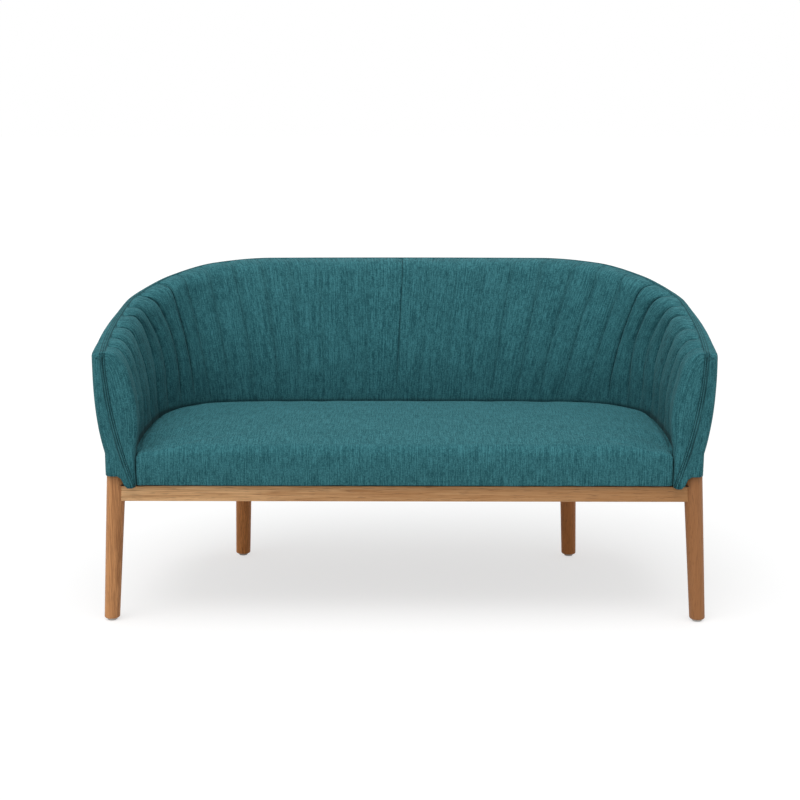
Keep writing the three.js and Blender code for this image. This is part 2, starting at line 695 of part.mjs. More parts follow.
// The front and back corners of one side of the base
function sideCorners(side) {
  const front = frontLeg(side);
  const back = backLeg(side);
  const inward = new THREE.Vector3(-side, 0, 0);
  const forward = middleOf(front).sub(middleOf(back)).normalize();
  const inLine = {
    ...front,
    foot: front.foot.clone().setY(frontRailY),
    top: front.top.clone().setY(frontRailY),
  };
  return [
    ['front', front, cornerFrame(inLine, inward, forward.clone().negate())],
    ['back', back, cornerFrame(back, inward, forward)],
  ];
}

function addBase() {
  const fronts = SIDES.map(([, side]) => frontLeg(side));
  const backs = SIDES.map(([, side]) => backLeg(side));
  const corners = SIDES.map(([, side]) => sideCorners(side));
  const tapers = [...fronts, ...backs].map((post) => legTaper(post, GAP));
  const boltHoles = corners.flat().map(([, , corner]) => boltHole(corner.bolt, GAP));
  const cutters = [...tapers, ...boltHoles, ...bodyBoltHoles, ...bodyBoltRecesses];
  const frontLine = fronts.map((post) => middleOf(post).setY(frontRailY));
  const frontRail = railSolid(frontLine[0], frontLine[1]);
  const backRail = railSolid(middleOf(backs[0]), middleOf(backs[1]));
  addPiece('front_rail', cutBy(frontRail, cutters), OILED_WOOD);
  addPiece('back_rail', cutBy(backRail, cutters), OILED_WOOD);
  const crossStart = new THREE.Vector3(0, frontRailY + RAIL_THICKNESS / 2 + GAP, 0);
  const crossEnd = new THREE.Vector3(0, backRailY - RAIL_THICKNESS / 2 - GAP, 0);
  addPiece('cross_rail', railSolid(crossStart, crossEnd), OILED_WOOD);
  const clearFront = box(
    new THREE.Vector3(-OVERALL_WIDTH, FRONT, RAIL_BOTTOM_HEIGHT - OVERRUN),
    new THREE.Vector3(OVERALL_WIDTH, frontRailY + RAIL_THICKNESS / 2 + GAP, RAIL_TOP_HEIGHT + OVERRUN),
  );
  SIDES.forEach(([label], i) => {
    const slanted = railSolid(middleOf(fronts[i]), middleOf(backs[i]));
    addPiece(`side_rail_${label}`, cutBy(slanted, [...cutters, clearFront]), OILED_WOOD);
    for (const [place, post, corner] of corners[i]) {
      addPiece(`${place}_leg_${label}`, legSolid(post, corner.bolt), OILED_WOOD);
      addPiece(`${place}_glide_${label}`, glideSolid(post), GLIDE_PLASTIC);
      addPiece(`${place}_corner_block_${label}`, blockSolid(corner, post), OILED_WOOD);
      addPiece(`${place}_leg_bolt_${label}`, boltSolid(corner.bolt), STEEL);
    }
  });
  for (const [name, bolt] of bodyBolts) {
    addPiece(name, boltSolid(bolt), STEEL);
  }
}

// Bottom of the body and the seat frame

const seatRailBack = FRONT + SEAT_FRONT_RAIL_SETBACK + SEAT_FRONT_RAIL_THICKNESS;

// A plywood ring that follows the tub and butts against the seat's front rail
function ringSolid(bottom, top, outside) {
  const profile = (section) => [[-RING_LEDGE, bottom], [outside(section), bottom],
    [outside(section), top], [-RING_LEDGE, top]];
  const clearRail = box(
    new THREE.Vector3(-OVERALL_WIDTH, FRONT - OVERRUN, 0),
    new THREE.Vector3(OVERALL_WIDTH, seatRailBack + GAP, OVERALL_HEIGHT),
  );
  const legs = SIDES.map(([, side]) => legTaper(frontLeg(side), GAP));
  return cutBy(wallSolid(-1, 1, profile), [clearRail, ...legs, ...bodyBoltHoles]);
}

function addBodyFrame() {
  const bottomRing = ringSolid(
    BODY_BOTTOM_HEIGHT,
    BOTTOM_RING_TOP_HEIGHT,
    (section) => section.sill - FRAME_SETBACK,
  );
  addPiece('bottom_ring', bottomRing, PLYWOOD);
  const seatRing = ringSolid(
    SEAT_RING_BOTTOM_HEIGHT,
    SEAT_RING_TOP_HEIGHT,
    (section) => section.foam - SOFT_GAP,
  );
  addPiece('seat_ring', seatRing, PLYWOOD);
  const railEnd = FRONT_LEG_TOP_X - SEAT_FRONT_RAIL_END_INSET;
  const frontRail = box(
    new THREE.Vector3(-railEnd, seatRailBack - SEAT_FRONT_RAIL_THICKNESS, BODY_BOTTOM_HEIGHT),
    new THREE.Vector3(railEnd, seatRailBack, SEAT_RING_TOP_HEIGHT),
  );
  addPiece('seat_front_rail', cutBy(frontRail, bodyBoltHoles), PLYWOOD);
  const ringLedge = seatLine.at(0).y - RING_LEDGE;
  SIDES.forEach(([label, side]) => {
    const spacer = box(
      new THREE.Vector3(-SPACER_WIDTH / 2, 0, BOTTOM_RING_TOP_HEIGHT + GAP),
      new THREE.Vector3(SPACER_WIDTH / 2, RING_LEDGE - GAP, SEAT_RING_BOTTOM_HEIGHT - GAP),
    ).translate(side * BACK_BODY_BOLT_X, ringLedge, 0);
    addPiece(`ring_spacer_${label}`, spacer, PLYWOOD);
  });
  const webFront = FRONT + SEAT_FRONT_RAIL_SETBACK + WEB_THICKNESS;
  for (let i = 0; i < WEB_COUNT; i += 1) {
    const x = WEB_SPREAD * (2 * i / (WEB_COUNT - 1) - 1);
    const web = box(
      new THREE.Vector3(x - WEB_WIDTH / 2, webFront, WEB_HEIGHT),
      new THREE.Vector3(x + WEB_WIDTH / 2, ringLedge + WEB_HOLD, WEB_HEIGHT + WEB_THICKNESS),
    );
    addPiece(`seat_web_${i + 1}`, web, WEBBING);
  }
  for (let i = 0; i < CROSS_WEB_COUNT; i += 1) {
    const y = FRONT + CROSS_WEB_FRONT + i * CROSS_WEB_SPACING;
    const end = SEAT_HALF_WIDTH - RING_LEDGE + WEB_HOLD;
    const web = box(
      new THREE.Vector3(-end, y - WEB_WIDTH / 2, CROSS_WEB_HEIGHT),
      new THREE.Vector3(end, y + WEB_WIDTH / 2, CROSS_WEB_HEIGHT + WEB_THICKNESS),
    );
    addPiece(`cross_web_${i + 1}`, web, WEBBING);
  }
}

function addDustCover() {
  const edge = SECTIONS.map((section) => spot(section, [section.sill - DUST_COVER_INSET, 0]));
  const front = FRONT + DUST_COVER_INSET;
  const outline = edge.map((point) => new THREE.Vector2(point.x, Math.max(point.y, front)));
  const ring = (height) => outline.map((point) => new THREE.Vector3(point.x, point.y, height));
  const heights = [DUST_COVER_HEIGHT, DUST_COVER_HEIGHT + DUST_COVER_THICKNESS];
  const sheet = sweptSolid(heights.map(ring), outline);
  const legHoles = SIDES.map(([, side]) => legTaper(frontLeg(side), SOFT_GAP));
  addPiece('dust_cover', cutBy(sheet, [...legHoles, ...bodyBoltHoles]), BLACK_CLOTH);
}

// Frame, liners and foam inside the tub wall

function addTubFrame() {
  const railProfile = (section) => {
    const top = section.topHeight - TOP_FOAM_DROP - SOFT_GAP;
    const bottom = top - TOP_RAIL_THICKNESS;
    const inside = (height) => depthAt(innerLine(section), height) + section.foam + SOFT_GAP;
    const outside = (height) => depthAt(outerLine(section), height) - FRAME_SETBACK;
    return [[inside(bottom), bottom], [outside(bottom), bottom], [outside(top), top],
      [inside(top), top]];
  };
  addPiece('top_rail', wallSolid(-FRONT_EDGE_SHARE, FRONT_EDGE_SHARE, railProfile), PLYWOOD);
  const postProfile = (foot) => (section) => {
    const top = section.topHeight - TOP_FOAM_DROP - SOFT_GAP - TOP_RAIL_THICKNESS - GAP;
    const outer = slice(outerLine(section), foot, top, -FRAME_SETBACK);
    const inner = slice(innerLine(section), foot, top, section.foam + SOFT_GAP);
    return [...outer, ...inner.reverse()];
  };
  const post = (from, foot) => wallSolid(from, from + POST_SHARE, postProfile(foot));
  const places = [
    ['front', FRONT_EDGE_SHARE - POST_SHARE, LEG_POCKET_HEIGHT + GAP],
    ['corner', STATION_SHARES[8], BOTTOM_RING_TOP_HEIGHT + GAP],
    ['back', STATION_SHARES[2], BOTTOM_RING_TOP_HEIGHT + GAP],
  ];
  for (const [name, from, foot] of places) {
    addPiece(`${name}_post_left`, post(-from - POST_SHARE, foot), PLYWOOD);
    addPiece(`${name}_post_right`, post(from, foot), PLYWOOD);
  }
}

function linerProfile(section) {
  const bottom = BODY_BOTTOM_HEIGHT;
  const top = section.topHeight - LINER_TOP_DROP;
  const outer = slice(outerLine(section), bottom, top, -LINER_SETBACK);
  const inner = slice(outerLine(section), bottom, top, -LINER_SETBACK - LINER_THICKNESS);
  return [...outer, ...inner.reverse()];
}

function foamProfile(section) {
  const { reach, topHeight, seamInset, foam } = section;
  const bottom = SEAT_RING_TOP_HEIGHT + SOFT_GAP;
  const lipBottom = topHeight - TOP_FOAM_DROP;
  const innerShift = (height) => depthAt(innerLine(section), height) + foam;
  const behindCover = (height) => depthAt(outerLine(section), height) - LIP_SETBACK;
  const lipDepth = behindCover(topHeight - SHOULDER);
  return [
    [QUILT_FOAM_GAP, bottom],
    [QUILT_FOAM_GAP, LEAN_START_HEIGHT],
    [reach - TOP_THICKNESS + QUILT_FOAM_GAP, topHeight - ROLL_HEIGHT],
    [reach - TOP_THICKNESS + ROLL_WIDTH, topHeight - QUILT_FOAM_GAP - GAP],
    [reach - seamInset, topHeight - QUILT_EDGE_THICKNESS - 2 * SOFT_GAP],
    [lipDepth - SHOULDER / 2, topHeight - SHOULDER / 2 - 2 * SOFT_GAP],
    [lipDepth, topHeight - SHOULDER],
    [behindCover(lipBottom), lipBottom],
    [innerShift(lipBottom), lipBottom],
    [foam, LEAN_START_HEIGHT],
    [foam, bottom],
  ];
}

function addWallFill() {
  const cornerFrom = STATION_SHARES[3];
  const cornerTo = STATION_SHARES[13];
  const end = 1 - (COVER_THICKNESS + 2 * SOFT_GAP) / seatLine.length;
  const split = SOFT_GAP / topLine.length;
  addPiece('back_foam', wallSolid(-cornerFrom, cornerFrom, foamProfile), FOAM);
  addPiece('back_liner', wallSolid(-cornerFrom, cornerFrom, linerProfile), FIBREBOARD);
  for (const [label, side] of SIDES) {
    const along = (from, to, profile) => (
      side > 0 ? wallSolid(from, to, profile) : wallSolid(-to, -from, profile)
    );
    addPiece(`corner_foam_${label}`, along(cornerFrom + split, cornerTo, foamProfile), FOAM);
    addPiece(`arm_foam_${label}`, along(cornerTo + split, end, foamProfile), FOAM);
    addPiece(`corner_liner_${label}`, along(cornerFrom + split, cornerTo, linerProfile), FIBREBOARD);
    addPiece(`arm_liner_${label}`, along(cornerTo + split, LEG_POCKET_SHARE, linerProfile), FIBREBOARD);
  }
}

// Covers

// Depth of the double seam on the arm's flat front
function seamDepth(section, height) {
  const rise = (height - BODY_BOTTOM_HEIGHT) / (SEAM_CURVE_TOP_HEIGHT - BODY_BOTTOM_HEIGHT);
  const left = (1 - THREE.MathUtils.clamp(rise, 0, 1)) ** SEAM_CURVE_POWER;
  return (section.reach - section.seamInset) * (1 - (1 - SEAM_TIP_SHARE) * left);
}

// Three points that carry a row round the arm's front edge and on to the seam on its front
function frontPoints(section, row, { side, round, cut, forward }) {
  const [depth, height] = (row.frontPlace ?? row.place)(section);
  const shifted = (amount) => [depth + row.inward[0] * amount, height + row.inward[1] * amount];
  const flat = shifted(round);
  flat[1] -= row.flatDrop ?? 0;
  const seamHeight = row.seamHeight?.(section) ?? flat[1];
  const seam = [seamDepth(section, seamHeight) + side * SOFT_GAP, seamHeight];
  return [
    spot(section, seam).setY(FRONT + forward),
    spot(section, flat).setY(FRONT + forward),
    spot(section, shifted(cut)).setY(FRONT + Math.max(forward, cut)),
  ];
}

// A row of a cover: its columns give a share of the wall and how far the point is drawn in
function coverRow(columns, row, face) {
  const left = frontPoints(SECTIONS[0], row, face);
  const right = frontPoints(SECTIONS.at(-1), row, face);
  const middle = columns.map(([share, drawn]) => onWall(share, (section) => {
    const [depth, height] = row.place(section);
    return [depth + drawn * row.inward[0], height + drawn * row.inward[1]];
  }));
  return [...left, ...middle, ...right.reverse()];
}

// Both faces of a cover where it turns round the arm's front edge
function coverFaces(side) {
  return {
    outside: { side, round: FRONT_ROUND, cut: SHOULDER_CUT, forward: 0 },
    inside: { side, round: COVER_THICKNESS, cut: SOFT_GAP, forward: COVER_THICKNESS },
  };
}

// Channel boundaries: where a seam stands at the seat and where it ends at the top
function channelShare(channel, riseShare) {
  const count = Math.abs(channel);
  const lastSeam = CHANNELS_PER_SIDE - 1;
  const fanStart = lastSeam * CHANNEL_FAN_START_SHARE;
  const spread = (pitch, fan) => {
    const seam = Math.min(count, lastSeam);
    const fanned = Math.max(0, (seam - fanStart) / (lastSeam - fanStart));
    const start = seam * pitch + fan * fanned ** CHANNEL_FAN_POWER;
    return start + (FRONT_EDGE_SHARE - start) * Math.max(0, count - lastSeam);
  };
  const low = spread(CHANNEL_SEAT_PITCH_SHARE, 0);
  const high = spread(CHANNEL_TOP_PITCH_SHARE, CHANNEL_FAN_SHARE);
  return Math.sign(channel) * (low + (high - low) * riseShare);
}

function quiltRows() {
  const lean = (section) => section.reach - TOP_THICKNESS;
  const rollFoot = (section) => section.topHeight - ROLL_HEIGHT;
  const middle = (section) => (LEAN_START_HEIGHT + rollFoot(section)) / 2;
  const seamEdge = (section) => section.reach - section.seamInset - SOFT_GAP;
  const downward = [0, -1];
  const outward = [1, 0];
  const atSeam = [-SEAM_LEAN_SHARE, -1];
  const outside = [
    { riseShare: 0, depthShare: 1, inward: outward, place: () => [0, QUILT_BOTTOM_HEIGHT] },
    {
      riseShare: 0.5,
      depthShare: 1,
      inward: outward,
      place: (s) => [depthAt(innerLine(s), middle(s)), middle(s)],
    },
    { riseShare: 1, depthShare: 1, inward: outward, place: (s) => [lean(s), rollFoot(s)] },
    {
      riseShare: 1,
      depthShare: 0.7,
      inward: [Math.SQRT1_2, -Math.SQRT1_2],
      place: (s) => [lean(s) + ROLL_CUT_WIDTH, s.topHeight - ROLL_CUT_HEIGHT],
    },
    {
      riseShare: 1,
      depthShare: 0.5,
      inward: downward,
      place: (s) => [lean(s) + ROLL_WIDTH, s.topHeight - SOFT_GAP],
    },
    { riseShare: 1, depthShare: 0, inward: atSeam, place: (s) => [seamEdge(s), s.topHeight] },
  ];
  const inside = [
    { riseShare: 0, inward: outward, place: () => [QUILT_THICKNESS, QUILT_BOTTOM_HEIGHT] },
    { riseShare: 0, inward: outward, place: () => [QUILT_THICKNESS, LEAN_START_HEIGHT] },
    {
      riseShare: 0.5,
      inward: outward,
      place: (s) => [depthAt(innerLine(s), middle(s)) + QUILT_THICKNESS, middle(s)],
    },
    { riseShare: 1, inward: outward, place: (s) => [lean(s) + QUILT_THICKNESS, rollFoot(s)] },
    {
      riseShare: 1,
      inward: downward,
      place: (s) => [lean(s) + ROLL_WIDTH, s.topHeight - QUILT_THICKNESS],
    },
    { riseShare: 1, inward: atSeam, place: (s) => [seamEdge(s), s.topHeight - QUILT_EDGE_THICKNESS] },
  ];
  outside[0].frontPlace = () => [0, BODY_BOTTOM_HEIGHT];
  inside[0].frontPlace = () => [QUILT_THICKNESS, BODY_BOTTOM_HEIGHT];
  return { outside, inside };
}

function addInnerCover() {
  const channels = [];
  const last = CHANNELS_PER_SIDE * QUILT_COLUMNS;
  for (let i = -last; i <= last; i += 1) {
    channels.push({
      channel: i / QUILT_COLUMNS,
      drawn: i % QUILT_COLUMNS === 0 && Math.abs(i) < last ? CHANNEL_DEPTH : 0,
    });
  }
  const columns = (riseShare, depthShare) => channels.map(({ channel, drawn }) => (
    [channelShare(channel, riseShare), drawn * depthShare]
  ));
  const rows = quiltRows();
  const faces = coverFaces(-1);
  const outer = rows.outside.map((row) => (
    coverRow(columns(row.riseShare, row.depthShare), row, faces.outside)
  ));
  const inner = rows.inside.map((row) => coverRow(columns(row.riseShare, 0), row, faces.inside));
  addPiece('inner_cover', sheetSolid(outer, inner), TEAL_CLOTH);
}

// Rows of the outer cover, from the double seam down to the hem
function outerRows(thin) {
  const nodes = outerLine(SECTIONS[0]).length;
  const inPocket = (section) => Math.abs(section.share) > LEG_POCKET_SHARE;
  const pocketEdge = LEG_POCKET_HEIGHT + GAP;
  const seamEdge = (s) => [s.reach - s.seamInset + SOFT_GAP, s.topHeight - thin];
  const shoulder = (s) => [s.reach - SHOULDER_CUT - thin, s.topHeight - SHOULDER_CUT - thin];
  const rows = [
    { inward: [SEAM_LEAN_SHARE, -1], place: seamEdge },
    {
      inward: [-Math.SQRT1_2, -Math.SQRT1_2],
      place: shoulder,
      seamHeight: (s) => s.topHeight - SHOULDER - SHOULDER / 4,
    },
  ];
  for (let node = nodes - 1; node > 0; node -= 1) {
    const flatDrop = node === nodes - 1 ? SHOULDER / 2 : 0;
    const place = (s) => [outerLine(s)[node][0] - thin, outerLine(s)[node][1]];
    rows.push({ inward: [-1, 0], place, flatDrop });
  }
  rows.push({
    inward: [-1, 0],
    place: (s) => [s.sill - thin, inPocket(s) ? pocketEdge : BODY_BOTTOM_HEIGHT],
    seamHeight: () => BODY_BOTTOM_HEIGHT,
  });
  return rows;
}

function addOuterCover() {
  const columns = sharesBetween(-FRONT_EDGE_SHARE, FRONT_EDGE_SHARE).map((share) => [share, 0]);
  const faces = coverFaces(1);
  const outer = outerRows(0).map((row) => coverRow(columns, row, faces.outside));
  const inner = outerRows(COVER_THICKNESS).map((row) => coverRow(columns, row, faces.inside));
  addPiece('outer_cover', sheetSolid(outer, inner), TEAL_CLOTH);
}

// Bench seat

// Outline of the seat with the direction that leads inward from each of its points
function seatOutline(clearance, face) {
  const round = SECTIONS.map((section) => {
    const at = spot(section, [-clearance, 0]);
    const inward = new THREE.Vector3(-section.out.x, -section.out.y, 0);
    return { at: at.setY(Math.max(at.y, face)), inward };
  });
  round[0].inward.y = 1;
  round.at(-1).inward.y = 1;
  const start = round.at(-1).at;
  const end = round[0].at;
  const front = [];
  for (let i = 1; i < SEAT_FRONT_CELLS; i += 1) {
    const at = start.clone().lerp(end, i / SEAT_FRONT_CELLS);
    front.push({ at, inward: new THREE.Vector3(0, 1, 0), front: true });
  }
  round[0].front = true;
  round.at(-1).front = true;
  return [...round, ...front];
}

function seatLoops(outline, lowered, skirtOf) {
  const middle = new THREE.Vector3(0, (SEAT_FACE + SEAT_BACK) / 2, 0);
  const edge = SEAT_EDGE_HEIGHT - lowered;
  const moved = (amount, height) => outline.map(({ at, inward }) => (
    at.clone().addScaledVector(inward, amount).setZ(height)
  ));
  const top = moved(SEAT_EDGE_ROLL, edge);
  const rings = SEAT_RING_SHARES.map((share) => top.map((point) => (
    point.clone().sub(middle).multiplyScalar(share).add(middle)
      .setZ(edge + SEAT_CROWN * (1 - share ** 2))
  )));
  const cut = SEAT_EDGE_ROLL * (1 - Math.SQRT1_2);
  return {
    loops: [
      outline.map((point) => point.at.clone().setZ(skirtOf(point))),
      moved(0, edge - SEAT_EDGE_ROLL + cut),
      moved(cut / 2, edge - cut),
      moved(SEAT_EDGE_ROLL, edge),
      ...rings,
    ],
    peak: middle.clone().setZ(edge + SEAT_CROWN),
  };
}

function seatSkinFaces(points, faces, { loops, peak }) {
  const start = points.length;
  const size = loops[0].length;
  points.push(...loops.flat(), peak);
  const indexOf = (loop) => Array.from({ length: size }, (_, i) => start + loop * size + i);
  for (let loop = 0; loop + 1 < loops.length; loop += 1) {
    bridge(points, faces, indexOf(loop), indexOf(loop + 1), true);
  }
  const last = indexOf(loops.length - 1);
  last.forEach((point, i) => {
    faces.push([point, last[(i + 1) % size], start + loops.length * size]);
  });
  return indexOf(0);
}

function addSeat() {
  const foamClearance = SEAT_SIDE_CLEARANCE + SEAT_COVER_THICKNESS + GAP;
  const foamFace = SEAT_FACE + SEAT_COVER_THICKNESS + GAP;
  const foamOutline = seatOutline(foamClearance, foamFace);
  const foamShape = seatLoops(
    foamOutline,
    SEAT_COVER_THICKNESS + GAP,
    () => SEAT_FOAM_BOTTOM_HEIGHT,
  );
  const points = [];
  const faces = [];
  const rim = seatSkinFaces(points, faces, foamShape);
  const middle = foamShape.peak.clone().setZ(SEAT_FOAM_BOTTOM_HEIGHT);
  points.push(middle);
  rim.forEach((point, i) => faces.push([rim[(i + 1) % rim.length], point, points.length - 1]));
  addPiece('seat_foam', closedGeometry(points, faces), FOAM);

  const skirtOf = ({ front }) => (front ? BODY_BOTTOM_HEIGHT : SEAT_SKIRT_HEIGHT);
  const outside = seatLoops(seatOutline(SEAT_SIDE_CLEARANCE, SEAT_FACE), 0, skirtOf);
  const insideClearance = SEAT_SIDE_CLEARANCE + SEAT_COVER_THICKNESS;
  const insideOutline = seatOutline(insideClearance, SEAT_FACE + SEAT_COVER_THICKNESS);
  const inside = seatLoops(insideOutline, SEAT_COVER_THICKNESS, skirtOf);
  const coverPoints = [];
  const outerFaces = [];
  const innerFaces = [];
  const outerRim = seatSkinFaces(coverPoints, outerFaces, outside);
  const innerRim = seatSkinFaces(coverPoints, innerFaces, inside);
  const skinFaces = [...outerFaces, ...innerFaces.map(([a, b, c]) => [a, c, b])];
  bridge(coverPoints, skinFaces, innerRim, outerRim, true);
  addPiece('seat_cover', closedGeometry(coverPoints, skinFaces), TEAL_CLOTH);

  const sideFace = seatLine.at(1).x - foamClearance;
  const frontFoam = box(
    new THREE.Vector3(-sideFace, foamFace, BODY_BOTTOM_HEIGHT),
    new THREE.Vector3(sideFace, foamFace + FRONT_FOAM_THICKNESS, SEAT_RING_TOP_HEIGHT),
  );
  addPiece('front_edge_foam', frontFoam, FOAM);
}

addBase();
addBodyFrame();
addDustCover();
addTubFrame();
addWallFill();
addInnerCover();
addOuterCover();
addSeat();

export default settee;
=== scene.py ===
"""Dressed model of a low barrel-back two-seat settee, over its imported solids, in metres."""
import json
import logging
import math
from collections.abc import Sequence
from dataclasses import dataclass, field
from enum import Enum

import bmesh
import bpy
import numpy as np
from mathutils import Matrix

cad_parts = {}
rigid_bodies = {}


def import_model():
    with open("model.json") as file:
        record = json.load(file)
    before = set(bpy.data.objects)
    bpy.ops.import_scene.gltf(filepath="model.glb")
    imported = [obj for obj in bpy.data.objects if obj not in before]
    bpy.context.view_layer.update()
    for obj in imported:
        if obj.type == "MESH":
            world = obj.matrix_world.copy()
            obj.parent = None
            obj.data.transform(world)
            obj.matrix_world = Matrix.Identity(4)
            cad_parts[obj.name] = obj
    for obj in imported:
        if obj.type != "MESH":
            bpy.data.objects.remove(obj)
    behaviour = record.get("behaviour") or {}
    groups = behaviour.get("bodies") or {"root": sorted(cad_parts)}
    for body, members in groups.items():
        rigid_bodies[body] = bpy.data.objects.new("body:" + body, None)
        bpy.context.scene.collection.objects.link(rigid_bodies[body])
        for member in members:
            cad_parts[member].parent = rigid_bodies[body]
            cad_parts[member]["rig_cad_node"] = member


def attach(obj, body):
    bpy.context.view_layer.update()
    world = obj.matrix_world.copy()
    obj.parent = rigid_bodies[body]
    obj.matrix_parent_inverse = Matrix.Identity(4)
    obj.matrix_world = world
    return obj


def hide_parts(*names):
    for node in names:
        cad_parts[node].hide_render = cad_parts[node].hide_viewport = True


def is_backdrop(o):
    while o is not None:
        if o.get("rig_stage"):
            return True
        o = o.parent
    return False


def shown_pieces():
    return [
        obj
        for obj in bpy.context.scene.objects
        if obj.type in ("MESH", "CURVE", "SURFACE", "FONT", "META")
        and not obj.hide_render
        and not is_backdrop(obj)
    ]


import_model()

LOG = logging.getLogger("settee")
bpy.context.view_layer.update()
SEED = 11

Array = np.ndarray
Pair = tuple[float, float]
Triple = tuple[float, float, float]
Tone = tuple[int, int, int]
Piece = bpy.types.Object
Material = bpy.types.Material
NodeTree = bpy.types.NodeTree
Node = bpy.types.Node
Socket = bpy.types.NodeSocket


class Side(Enum):
    """The settee's two sides, as the photograph shows them."""

    LEFT = -1
    RIGHT = 1

    @property
    def label(self) -> str:
        """Return the side's name as the node names spell it."""
        return self.name.lower()


class Grain(Enum):
    """Which way a wooden part's grain runs: the axis along it, and the two across it."""

    ACROSS = (0, 1, 2)
    DEEP = (1, 0, 2)
    UPRIGHT = (2, 0, 1)


def smooth(value: Array, low: Array | float, high: Array | float) -> Array:
    """Return 0 below low and 1 above high, with an even ease between.

    Args:
        value: The values to ease.
        low: Where the ease starts.
        high: Where it ends.

    Returns:
        The eased values, from 0 to 1.
    """
    t = np.clip((np.asarray(value, float) - low) / (high - low), 0, 1)
    return t * t * (3 - 2 * t)


@dataclass(frozen=True)
class Ramp:
    """A measure that keeps one level up to a start, then eases and gains until an end."""

    start: float
    end: float
    level: float = 0.0
    gain: float = 1.0

    def at(self, place: Array) -> Array:
        """Return the measure at each place."""
        return self.level + self.gain * smooth(place, self.start, self.end)


def eased_steps(pairs: Sequence[Pair], value: Array) -> Array:
    """Return a curve through the pairs that never overshoots them.

    Args:
        pairs: Points of the curve, as (place, height), in order.
        value: Places to read the curve at.

    Returns:
        The curve's heights at those places.
    """
    places, heights = (np.array(column) for column in zip(*pairs))
    widths = np.diff(places)
    slopes = np.diff(heights) / widths
    product = slopes[:-1] * slopes[1:]
    total = np.where(product > 0, slopes[:-1] + slopes[1:], 1)
    inner = np.where(product > 0, 2 * product / total, 0)
    tangents = np.concatenate([slopes[:1], inner, slopes[-1:]])
    cell = np.clip(np.searchsorted(places, value) - 1, 0, len(widths) - 1)
    width = widths[cell]
    t = (value - places[cell]) / width
    start = (1 + 2 * t) * (1 - t) ** 2 * heights[cell] + t * (1 - t) ** 2 * width * tangents[cell]
    end = t * t * (3 - 2 * t) * heights[cell + 1] + t * t * (t - 1) * width * tangents[cell + 1]
    return start + end


class Ripple:
    """A gentle unevenness of hand-pulled cloth, the same on every run."""

    def __init__(self, seed: int, waves: int = 14) -> None:
        """Draw the waves once.

        Args:
            seed: Picks the waves.
            waves: How many are laid over each other.
        """
        draw = np.random.default_rng(SEED + seed)
        self.turns = draw.uniform(0, 2 * math.pi, waves)
        self.phases = draw.uniform(0, 2 * math.pi, waves)
        self.scales = draw.uniform(0.6, 1.7, waves)

    def at(self, across: Array, along: Array, length: float) -> Array:
        """Return the unevenness, about -1 to 1.

        Args:
            across: First cloth coordinate, in metres.
            along: Second cloth coordinate, in metres.
            length: Usual length of a ripple, in metres.

        Returns:
            One value for each point.
        """
        total = np.zeros(np.broadcast(across, along).shape)
        for turn, phase, scale in zip(self.turns, self.phases, self.scales):
            angle = (across * math.cos(turn) + along * math.sin(turn)) * 2 * math.pi * scale
            total += np.sin(angle / length + phase)
        return total / math.sqrt(len(self.turns) * 2)


@dataclass(frozen=True)
class TubLine:
    """Half of a line of the tub in plan: a nearly straight back, a round corner, a bowed side."""

    half_width: float
    back: float
    front: float
    corner_radius: float
    side_radius: float
    back_turn: float
    side_turn: float = math.radians(87)

    def arcs(self) -> list[tuple[float, float, float, float, float]]:
        """Return the arcs of this half.

        Returns:
            Each arc's centre x and y, radius, first turn and last turn.
        """
        bowed = (self.side_radius - self.corner_radius) * math.sin(self.side_turn)
        width_left = self.half_width - self.side_radius + bowed
        back_radius = width_left / math.sin(self.back_turn) + self.corner_radius
        back_y = self.back - back_radius
        step = back_radius - self.corner_radius
        corner_x = step * math.sin(self.back_turn)
        corner_y = back_y + step * math.cos(self.back_turn)
        step = self.corner_radius - self.side_radius
        side_x = corner_x + step * math.sin(self.side_turn)
        side_y = corner_y + step * math.cos(self.side_turn)
        last_turn = math.acos((self.front - side_y) / self.side_radius)
        return [
            (0.0, back_y, back_radius, 0.0, self.back_turn),
            (corner_x, corner_y, self.corner_radius, self.back_turn, self.side_turn),
            (side_x, side_y, self.side_radius, self.side_turn, last_turn),
        ]

    @property
    def length(self) -> float:
        """Return the length of this half of the line."""
        return sum(radius * (last - first) for _, _, radius, first, last in self.arcs())

    def at(self, share: Array) -> Array:
        """Return points of the line.

        Args:
            share: Shares of its length, negative on the left half.

        Returns:
            The points, their x and y in the last axis.
        """
        left = np.abs(share) * self.length
        x = np.zeros_like(left)
        y = np.zeros_like(left)
        start = 0.0
        for centre_x, centre_y, radius, first, last in self.arcs():
            turn = first + (left - start) / radius
            here = left >= start
            x = np.where(here, centre_x + radius * np.sin(turn), x)
            y = np.where(here, centre_y + radius * np.cos(turn), y)
            start += radius * (last - first)
        return np.stack([np.sign(share) * x, y], axis=-1)


@dataclass(frozen=True)
class Section:
    """The tub wall's section at each of an array of shares of the way to an arm front."""

    share: Array
    base: Array
    out: Array
    reach: Array
    top: Array
    sill: Array
    power: Array
    inset: Array

    def point(self, depth: Array, height: Array) -> Array:
        """Return the points at a depth into the wall and a height above the floor."""
        flat = self.base + self.out * np.asarray(depth)[..., None]
        return np.concatenate([flat, np.broadcast_to(height, flat.shape[:-1])[..., None]], axis=-1)


